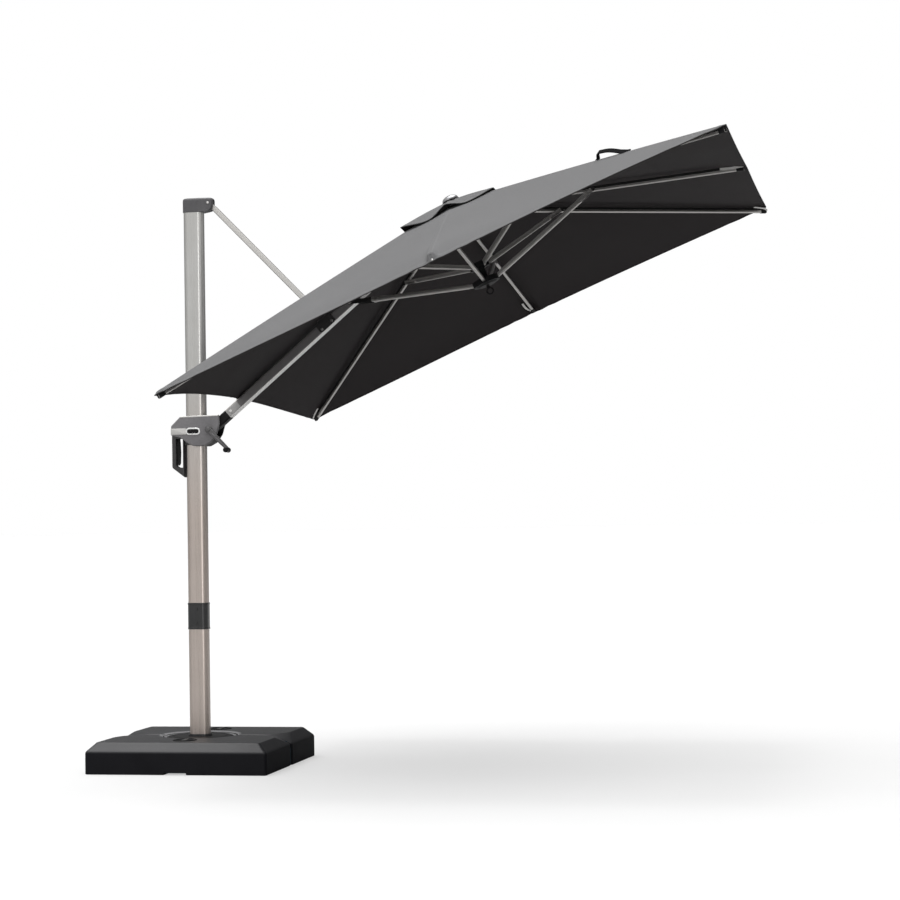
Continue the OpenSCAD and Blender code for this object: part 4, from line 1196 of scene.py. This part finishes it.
    pts = []
    for k in range(13):
        a = math.pi / 2 + math.pi * k / 12
        pts.append((0.0125 * math.cos(a), 0.0125 * math.sin(a)))
    for k in range(13):
        a = -math.pi / 2 + math.pi * k / 12
        pts.append((0.136 + 0.0078 * math.cos(a), 0.0078 * math.sin(a)))
    arm = plate("crank_blade", np.array(pts), [(-0.0578, 0.0016), (-0.0584, 0.0005), (-0.0594, 0.0), (-0.0636, 0.0), (-0.0645, 0.0006), (-0.0650, 0.0018), (-0.0650, 0.0040), (-0.0642, 0.0046)], M["crank"], crank)
    put(arm, "crank", "crank_arm")
    rib = plate("crank_blade_rib", rrect(0.098, 0.0046, 0.0022, 5) + np.array([0.074, 0]), [(-0.0640, 0.0), (-0.0656, 0.0), (-0.0661, 0.0006)], M["grey"], crank)
    put(rib, "crank")
    boss = lathe("crank_boss", mm((0, -69), (8.5, -68.8), (10.5, -67.8), (11.2, -66), (11.2, -64.6), (15.6, -64.2), (16.6, -62.8), (17, -58), (16.4, -55), (14, -54), (5, -54), (5, -21), (0, -20)), M["crank"], crank, 48, (0, 0, 0), "y", 30)
    put(boss, "crank")
    pin = lathe("knob_spindle", mm((0, -118), (3, -118), (4.4, -117.6), (4.9, -117), (4.9, -58), (0, -57.6)), M["dark_steel"], crank, 32, (0.136, 0, 0), "y", 30)
    put(pin, "crank")
    knob = lathe("crank_grip", mm((5.1, -120.6), (7.4, -120.4), (9.8, -119), (11.2, -116.4), (11.7, -112), (11.4, -106), (10.9, -98), (10.6, -90), (10.7, -82), (11.2, -76), (11.8, -71.4), (11.8, -68.2), (11.0, -66.4), (8.8, -65.8), (5.1, -65.8)), M["deep"], crank, 48, (0.136, 0, 0), "y", 30)
    put(knob, "knob", "crank_knob")


def make_arm_tip():
    at = 1.440 - 1.2 / cos(MID_S)
    foot = rounded(np.array([(at - 0.004, -0.016), (at + 0.046, -0.016), (at + 0.046, 0.016), (at - 0.004, 0.016)]), 0.004, 5)
    put(plate("hem_saddle", foot, [(0.0212, 0.0), (0.0265, 0.0), (0.0280, 0.0008), (0.0286, 0.0024)], M["coat"], arm_world, "xy"), "arm", "arm_tip")


def make_tie_bracket():
    ex, eh = 0.7199, 0.0695
    x0, x1 = ex - 0.045, ex + 0.045
    for s in (-1, 1):
        side = rounded(np.array([(x0, -0.013), (x0 + 0.010, -0.019), (x1 - 0.010, -0.019), (x1, -0.013), (x1, 0.0262), (x0, 0.0262)]), [0.004, 0.004, 0.004, 0.004, 0.001, 0.001], 4)
        put(plate("saddle_side_" + ("near" if s < 0 else "far"), side, [(s * 0.0281, 0.0), (s * 0.0308, 0.0), (s * 0.0316, 0.0007)], M["coat"], arm_world), "arm")
        ear = rounded(np.array([(ex - 0.030, 0.0255), (ex + 0.030, 0.0255), (ex + 0.0125, eh + 0.006), (ex, eh + 0.0135), (ex - 0.0125, eh + 0.006)]), [0.001, 0.001, 0.009, 0.010, 0.009], 5)
        put(plate("saddle_ear_" + ("near" if s < 0 else "far"), ear, [(s * 0.0087, 0.0005), (s * 0.0092, 0.0), (s * 0.0131, 0.0), (s * 0.0136, 0.0005)], M["coat"], arm_world), "arm")
    top = rounded(np.array([(x0, -0.0312), (x1, -0.0312), (x1, 0.0312), (x0, 0.0312)]), 0.003, 4)
    put(plate("saddle_top", top, [(0.0211, 0.0), (0.0255, 0.0), (0.0265, 0.0009)], M["coat"], arm_world, "xy"), "arm", "tie_bracket")
    pin = lathe("saddle_pin", mm((0, -18.2), (6.2, -18), (7.6, -17), (8, -15.6), (8, -13.8), (4.9, -13.8), (4.9, 13.8), (8, 13.8), (8, 15.6), (7.6, 17), (6.2, 18), (0, 18.2)), M["steel"], arm_world, 32, (ex, 0, eh), "y", 30)
    put(pin, "arm")


# ------------------------------------------------------------------ canopy fittings
def rib_frame(k):
    """Origin at the rib's hinge: X out along the rib, Y across it, Z up."""
    az, mid = rad(45 * (k % 8)), k % 2 == 0
    s = MID_S if mid else COR_S
    out = np.array([cos(az), sin(az), 0])
    d = out * cos(s) + np.array([0, 0, -sin(s)])
    up = out * sin(s) + np.array([0, 0, cos(s)])
    side = np.array([-sin(az), cos(az), 0])
    origin = out * PR
    length = (HALF * (1 if mid else math.sqrt(2)) - PR) / cos(s)

    def place(p):
        p = np.asarray(p, float)
        return canopy_world(origin + p[..., 0:1] * d + p[..., 1:2] * side + p[..., 2:3] * up)

    return place, length


def ribbon(name, pts, width, thick, mat, place, side=(0, 1, 0)):
    """Flat strap along a line of points given in a rib's frame, with its width across."""
    pts = np.asarray(pts, float)
    n = len(pts)
    tan = np.gradient(pts, axis=0)
    tan /= np.linalg.norm(tan, axis=1)[:, None]
    side = np.asarray(side, float)
    loops, uv, run = [], [], 0.0
    for i in range(n):
        if i:
            run += np.linalg.norm(pts[i] - pts[i - 1])
        nrm = np.cross(tan[i], side)
        nrm /= np.linalg.norm(nrm)
        w, t = width / 2, thick / 2
        ring = [(-w, -t * 0.5), (-w * 0.94, -t), (w * 0.94, -t), (w, -t * 0.5), (w, t * 0.5), (w * 0.94, t), (-w * 0.94, t), (-w, t * 0.5)]
        loops.append(np.array([pts[i] + side * a + nrm * b for a, b in ring]))
        uv += [(a, run) for a, b in ring]
    ob = loft(name, loops, mat, True, place, 45)
    layer = ob.data.uv_layers.new(name="UVMap")
    idx = np.zeros(len(ob.data.loops), np.int32)
    ob.data.loops.foreach_get("vertex_index", idx)
    layer.data.foreach_set("uv", np.array(uv, np.float32)[idx].ravel())
    return ob


def make_tip(k):
    """End cap and tensioning strap at a rib's tip."""
    nm = NAMES[k]
    body = "arm" if nm == "w" else "rib_" + nm
    place, length = rib_frame(k)
    end = length - 0.012
    made = []
    if nm != "w":
        box = rrect(0.0172, 0.0268, 0.0055, 5)
        cap = plate("rib_end_" + nm, box, [(end - 0.034, 0.0012), (end - 0.0335, 0.0), (end - 0.0044, 0.0), (end - 0.0018, 0.0006), (end - 0.0002, 0.0020), (end + 0.0005, 0.0046)], M["deep"], place, "yz")
        put(cap, body)
        if nm in ("s", "se", "sw"):
            return made
        side = 1 if nm in ("n", "nw") else -1
        t = np.linspace(0, 1, 18)
        xs = end - 0.104 + 0.103 * t
        wide = 0.040 if nm in ("e", "ne") else 0.0262
        ys = side * (wide - (wide - 0.0112) * t**3.5)
        zs = (0.0010 if nm in ("e", "ne") else 0.0070) - 0.0045 * t**2.6 - 0.0030 * np.sin(math.pi * t)
        if nm == "e":
            line = np.stack([xs, np.full(18, -0.0112), 0.0060 - 0.0022 * np.sin(math.pi * t)], 1)
            strap = ribbon("tip_strap_e", line, 0.0100, 0.0018, M["strap"], place, (0, 0, 1))
        else:
            strap = ribbon("tip_strap_" + nm, np.stack([xs, ys, zs], 1), 0.011, 0.0018, M["strap"], place)
        put(strap, body)
        made.append(strap)
    return made


def make_tie_strap():
    """Black webbing loop on the ridge over the near right rib, used to tie the closed canopy."""
    k = 7
    place, length = rib_frame(k)
    x0, x1, high = 0.992, 1.168, 0.033
    t = np.linspace(0, 1, 40)
    base = 0.0262
    u = np.clip(t / 0.17, 0, 1)
    v = np.clip((t - 0.17) / 0.83, 0, 1)
    rise = high * np.where(t < 0.17, 0.90 * np.sin(math.pi / 2 * u) ** 0.9, 0.90 * (1 - v) ** 0.92 + 0.17 * np.sin(math.pi * np.minimum(1, v * 1.25)) ** 1.2)
    run = np.where(t < 0.17, 0.012 * (1 - np.cos(math.pi / 2 * u)), 0.012 + (x1 - x0 - 0.012) * v)
    pts = np.stack([x0 + run, np.full(40, -0.002), base + rise], 1)
    foot0 = np.array([[x0 - 0.022, -0.002, base - 0.0005], [x0 - 0.010, -0.002, base - 0.0002]])
    foot1 = np.array([[x1 + 0.010, -0.002, base - 0.0014], [x1 + 0.022, -0.002, base - 0.0022]])
    ob = ribbon("closing_strap", np.concatenate([foot0, pts, foot1]), 0.022, 0.0042, M["webbing"], place, (0, 0.83, 0.56))
    put(ob, "rib_se")
    return ob


def make_rivet(k):
    nm = NAMES[k]
    body = "arm" if nm == "w" else "rib_" + nm
    h0, _ = rib_line(k)
    p = sheet_point(k, np.array([0.0]), np.array([1 - 0.0030 / 1.3]))[0]
    q = sheet_point(k, np.array([0.0]), np.array([1 - 0.0080 / 1.3]))[0]
    d = (p - q) / np.linalg.norm(p - q)
    side = np.array([-sin(rad(45 * k)), cos(rad(45 * k)), 0])
    up = np.cross(d, side)
    up *= 1 if up[2] > 0 else -1

    def place(v):
        v = np.asarray(v, float)
        return canopy_world(p + v[..., 0:1] * d + v[..., 1:2] * side + v[..., 2:3] * up)

    ob = lathe("tip_rivet_" + nm, mm((0, -0.5), (4.4, -0.2), (4.6, 0.8), (4.1, 1.9), (2.6, 2.7), (0, 3.0)), M["steel"], place, 32, (0, 0, 0.0006), "z", 40)
    put(ob, body)
    return ob


def make_finial():
    def place(p):
        return canopy_world(p)

    prof = [(0, 17), (10.4, 17), (11, 17.6), (11, 52.6), (30, 52.8), (38, 53), (39, 54), (39, 56), (38.2, 57), (36.6, 57.6), (36.9, 58.6), (37.0, 60.0), (36.4, 63.0), (34.6, 66.5), (31.4, 69.9), (26.6, 73.1), (20.4, 75.9), (13.0, 77.9), (6, 78.8), (0, 79)]
    ob = lathe("crown_cap", mm(*prof), M["polished"], place, 72, (0, 0, 0), "z", 30)
    put(ob, "crown", "top_finial")
    ring = lathe("crown_cap_ring", mm((36.9, 53.2), (39.3, 53.6), (39.6, 55), (39.3, 56.6), (37.2, 57.9), (36.7, 57.4)), M["black"], place, 72, (0, 0, 0), "z", 50)
    put(ring, "crown")


def paint_near(node, at, reach, mat):
    """Faces of a CAD piece that lie wholly within reach of a point get a second finish."""
    o = NODES[node]
    o.data.materials.append(mat)
    slot = len(o.data.materials) - 1
    mw = o.matrix_world
    at = Vector(at)
    for f in o.data.polygons:
        if all((mw @ o.data.vertices[v].co - at).length < reach for v in f.vertices):
            f.material_index = slot


def gloss_by_slope_painted_light(mat, wall, top):
    """Gloss that differs between upright walls and faces that look up, and falls off on faces that look towards +X: the
    specular level is set by facing, a painted highlight on upward faces and painted shade on the +X side.
    """
    nt = mat.node_tree
    co, sep, mr = (nt.nodes.new("ShaderNode" + k) for k in ("TexCoord", "SeparateXYZ", "MapRange"))
    nt.links.new(co.outputs["Normal"], sep.inputs[0])
    nt.links.new(sep.outputs["Z"], mr.inputs["Value"])
    for k, v in (("From Min", 0.15), ("From Max", 0.60), ("To Min", wall), ("To Max", top)):
        mr.inputs[k].default_value = v
    side = nt.nodes.new("ShaderNodeMapRange")
    nt.links.new(sep.outputs["X"], side.inputs["Value"])
    for k, v in (("From Min", 0.15), ("From Max", 0.60), ("To Min", 1.0), ("To Max", 0.22)):
        side.inputs[k].default_value = v
    both = nt.nodes.new("ShaderNodeMath")
    both.operation = "MULTIPLY"
    nt.links.new(mr.outputs[0], both.inputs[0])
    nt.links.new(side.outputs[0], both.inputs[1])
    level = nt.nodes["Principled BSDF"].inputs["Specular IOR Level"]
    level.default_value = (wall + top) / 2
    nt.links.new(both.outputs[0], level)


def black_near(mat, at, reach):
    """Black coating on the part of a piece within reach of a point."""
    nt = mat.node_tree
    b = nt.nodes["Principled BSDF"]
    co, dist, less, mixc = (nt.nodes.new("ShaderNode" + k) for k in ("TexCoord", "VectorMath", "Math", "Mix"))
    dist.operation, less.operation, mixc.data_type = "DISTANCE", "LESS_THAN", "RGBA"
    nt.links.new(co.outputs["Object"], dist.inputs[0])
    dist.inputs[1].default_value = at
    nt.links.new(dist.outputs["Value"], less.inputs[0])
    less.inputs[1].default_value = reach
    nt.links.new(less.outputs[0], mixc.inputs[0])
    nt.links.new(b.inputs["Base Color"].links[0].from_socket, mixc.inputs[6])
    mixc.inputs[7].default_value = (0.012, 0.012, 0.012, 1)
    nt.links.new(mixc.outputs[2], b.inputs["Base Color"])
    inv = nt.nodes.new("ShaderNodeMath")
    inv.operation = "SUBTRACT"
    inv.inputs[0].default_value = 1.0
    nt.links.new(less.outputs[0], inv.inputs[1])
    nt.links.new(inv.outputs[0], b.inputs["Metallic"])


def painted_shade_above(mat, at, up, colour=(0.016, 0.016, 0.016)):
    """Painted shade on the upper half of a rib or strut, above the line through at: a flat dark non-metallic colour for
    the shade between it and the cloth.
    """
    nt = mat.node_tree
    b = nt.nodes["Principled BSDF"]
    co, dot, more, tint, metal = (nt.nodes.new("ShaderNode" + k) for k in ("TexCoord", "VectorMath", "Math", "Mix", "Math"))
    dot.operation, more.operation, metal.operation, tint.data_type = "DOT_PRODUCT", "GREATER_THAN", "SUBTRACT", "RGBA"
    nt.links.new(co.outputs["Object"], dot.inputs[0])
    dot.inputs[1].default_value = up
    nt.links.new(dot.outputs["Value"], more.inputs[0])
    more.inputs[1].default_value = Vector(at).dot(Vector(up))
    nt.links.new(more.outputs[0], tint.inputs[0])
    nt.links.new(b.inputs["Base Color"].links[0].from_socket, tint.inputs[6])
    tint.inputs[7].default_value = (*colour, 1)
    nt.links.new(tint.outputs[2], b.inputs["Base Color"])
    metal.inputs[0].default_value = 1.0
    nt.links.new(more.outputs[0], metal.inputs[1])
    nt.links.new(metal.outputs[0], b.inputs["Metallic"])
    b.inputs["Specular IOR Level"].default_value = 0.2


def paint_rib_shade():
    for k, nm in enumerate(NAMES):
        if nm == "w":
            continue
        place, length = rib_frame(k)
        a, c = place([[0.5, 0, 0.0005], [0.5, 0, 1.0005]])
        up = (np.asarray(c) - np.asarray(a)).tolist()
        # painted shade: the upper half of each rib is made near-black for the shade under the cloth
        painted_shade_above(NODES["rib_" + nm].data.materials[0], tuple(np.asarray(a).tolist()), tuple(up))


def paint_strut_shade():
    for k, nm in enumerate(NAMES):
        mid = k % 2 == 0
        s, jd = (MID_S, 0.575) if mid else (COR_S, 0.5266)
        out = np.array([cos(rad(45 * k)), sin(rad(45 * k)), 0])
        p = (PR + jd * cos(s)) * out + np.array([0, 0, -jd * sin(s)])
        e = PR * out if mid else 0.035 * out
        e = e + np.array([0, 0, -2 * 0.575 * sin(MID_S) + (0 if mid else 0.075)])
        a, c = (np.asarray(canopy_world(v[None]))[0] for v in (p, e))
        if nm == "w":
            a = np.asarray(arm_world(np.array([1.440 - 0.575, 0, 0])))
        d = (a - c) / np.linalg.norm(a - c)
        up = np.asarray(CN) - d * float(np.dot(np.asarray(CN), d))
        up /= np.linalg.norm(up)
        # painted shade: the upper half of each strut is made a dark brown-grey for the shade under the canopy
        painted_shade_above(NODES["strut_" + nm].data.materials[0], tuple(((a + c) / 2 - 0.0015 * up).tolist()), tuple(up.tolist()), (0.250, 0.240, 0.232))


def paint_forks():
    w_joint = arm_world(np.array([1.440 - 0.575, 0, 0]))
    black_near(NODES["strut_w"].data.materials[0], tuple(w_joint), 0.105)
    for k, nm in enumerate(NAMES):
        mid = k % 2 == 0
        s, jd = (MID_S, 0.575) if mid else (COR_S, 0.5266)
        out = np.array([cos(rad(45 * k)), sin(rad(45 * k)), 0])
        p = (PR + jd * cos(s)) * out + np.array([0, 0, -jd * sin(s)])
        paint_near("strut_" + nm, canopy_world(p), 0.080, M["coat"])


def make_stage():
    """Pale floor that runs far back, with a plain soft sky light."""
    seg = 96
    verts, faces = [(0, 0, 0)], []
    for r in (3.0, 8.0, 20.0, 60.0, 150.0):
        for k in range(seg):
            a = math.tau * k / seg
            verts.append((1.0 + r * cos(a), r * sin(a), 0))
    for k in range(seg):
        faces.append((0, 1 + k, 1 + (k + 1) % seg))
    for ring in range(4):
        a, b = 1 + ring * seg, 1 + (ring + 1) * seg
        for k in range(seg):
            j = (k + 1) % seg
            faces.append((a + k, b + k, b + j, a + j))
    m = Mat("studio_floor", Roughness=0.9, Metallic=0.0)
    m.b.inputs["Specular IOR Level"].default_value = 0.1
    m.b.inputs["Emission Color"].default_value = (1, 1, 1, 1)
    seen = m.node("LightPath")
    m.set("Emission Strength", m.math("MULTIPLY", seen.outputs["Is Camera Ray"], 0.50))
    m.set("Base Color", m.ramp(m.noise(m.coords(), 1.3, 3.0), [(0.3, (0.295, 0.295, 0.295)), (0.7, (0.305, 0.305, 0.305))]))
    floor = new_object("studio_floor", verts, faces, m.m)
    fix_normals(floor)
    floor.location.z = -0.0004

    w = bpy.data.worlds.new("studio")
    SCENE.world = w
    w.use_nodes = True
    t = w.node_tree
    t.nodes.clear()
    out = t.nodes.new("ShaderNodeOutputWorld")
    sky = t.nodes.new("ShaderNodeBackground")
    white = t.nodes.new("ShaderNodeBackground")
    mixn = t.nodes.new("ShaderNodeMixShader")
    path = t.nodes.new("ShaderNodeLightPath")
    white.inputs["Color"].default_value = (1, 1, 1, 1)
    white.inputs["Strength"].default_value = 1.0
    tc = t.nodes.new("ShaderNodeTexCoord")
    sep = t.nodes.new("ShaderNodeSeparateXYZ")
    t.links.new(tc.outputs["Generated"], sep.inputs[0])

    def ramp(fac, stops):
        n = t.nodes.new("ShaderNodeValToRGB")
        e = n.color_ramp.elements
        while len(e) < len(stops):
            e.new(0.5)
        for k, (pos, c) in enumerate(stops):
            e[k].position, e[k].color = pos, (c, c, c, 1)
        t.links.new(fac, n.inputs["Fac"])
        return n.outputs["Color"]

    # around the studio: lighter walls in front, darker ones behind; a large soft box overhead
    turn = t.nodes.new("ShaderNodeMath")
    turn.operation = "ARCTAN2"
    t.links.new(sep.outputs["Y"], turn.inputs[0])
    t.links.new(sep.outputs["X"], turn.inputs[1])
    unit = t.nodes.new("ShaderNodeMath")
    unit.operation = "MULTIPLY_ADD"
    t.links.new(turn.outputs[0], unit.inputs[0])
    unit.inputs[1].default_value, unit.inputs[2].default_value = 1 / math.tau, 0.5
    wall = ramp(unit.outputs[0], [(0.0, 0.45), (0.19, 0.72), (0.29, 0.72), (0.40, 0.34), (0.50, 0.24), (0.62, 0.26), (0.69, 0.09), (0.80, 0.12), (1.0, 0.45)])
    over = ramp(sep.outputs["Z"], [(0.0, 0.0), (0.55, 0.25), (0.79, 0.45), (0.84, 3.3), (1.0, 3.3)])
    both = t.nodes.new("ShaderNodeMix")
    both.data_type, both.blend_type = "RGBA", "ADD"
    both.inputs[0].default_value = 1.0
    t.links.new(wall, both.inputs[6])
    t.links.new(over, both.inputs[7])
    t.links.new(both.outputs[2], sky.inputs["Color"])
    sky.inputs["Strength"].default_value = 1.0
    t.links.new(path.outputs["Is Camera Ray"], mixn.inputs[0])
    t.links.new(sky.outputs[0], mixn.inputs[1])
    t.links.new(white.outputs[0], mixn.inputs[2])
    t.links.new(mixn.outputs[0], out.inputs[0])

    sun = bpy.data.lights.new("key", "SUN")
    sun.energy, sun.angle = 0.55, rad(10)
    so = bpy.data.objects.new("key", sun)
    SCENE.collection.objects.link(so)
    so.rotation_euler = Vector((0.07, -0.03, -1.0)).to_track_quat("-Z", "Y").to_euler()

    def area(name, at, to, size, power, size_y=None):
        l = bpy.data.lights.new(name, "AREA")
        l.shape, l.size, l.size_y, l.energy = "RECTANGLE", size, size_y or size, power
        o = bpy.data.objects.new(name, l)
        SCENE.collection.objects.link(o)
        o.location = at
        o.rotation_euler = (Vector(to) - Vector(at)).to_track_quat("-Z", "Y").to_euler()
        o.visible_camera = False
        return o

    # tall strip box in front of the mast, for the long highlight on its corner
    area("strip", (0.30, -5.0, 1.5), (0.05, 0, 1.4), 1.2, 34, 4.6)
    SCENE.view_settings.view_transform = "Standard"
    SCENE.view_settings.look = "None"


make_camera()
make_materials()
paint_nodes()
paint_rib_shade()
paint_strut_shade()
paint_forks()
make_base()
make_mast_cap()
make_carriage()
make_tie_bracket()
make_arm_tip()
make_canopy()
make_finial()
make_stage()
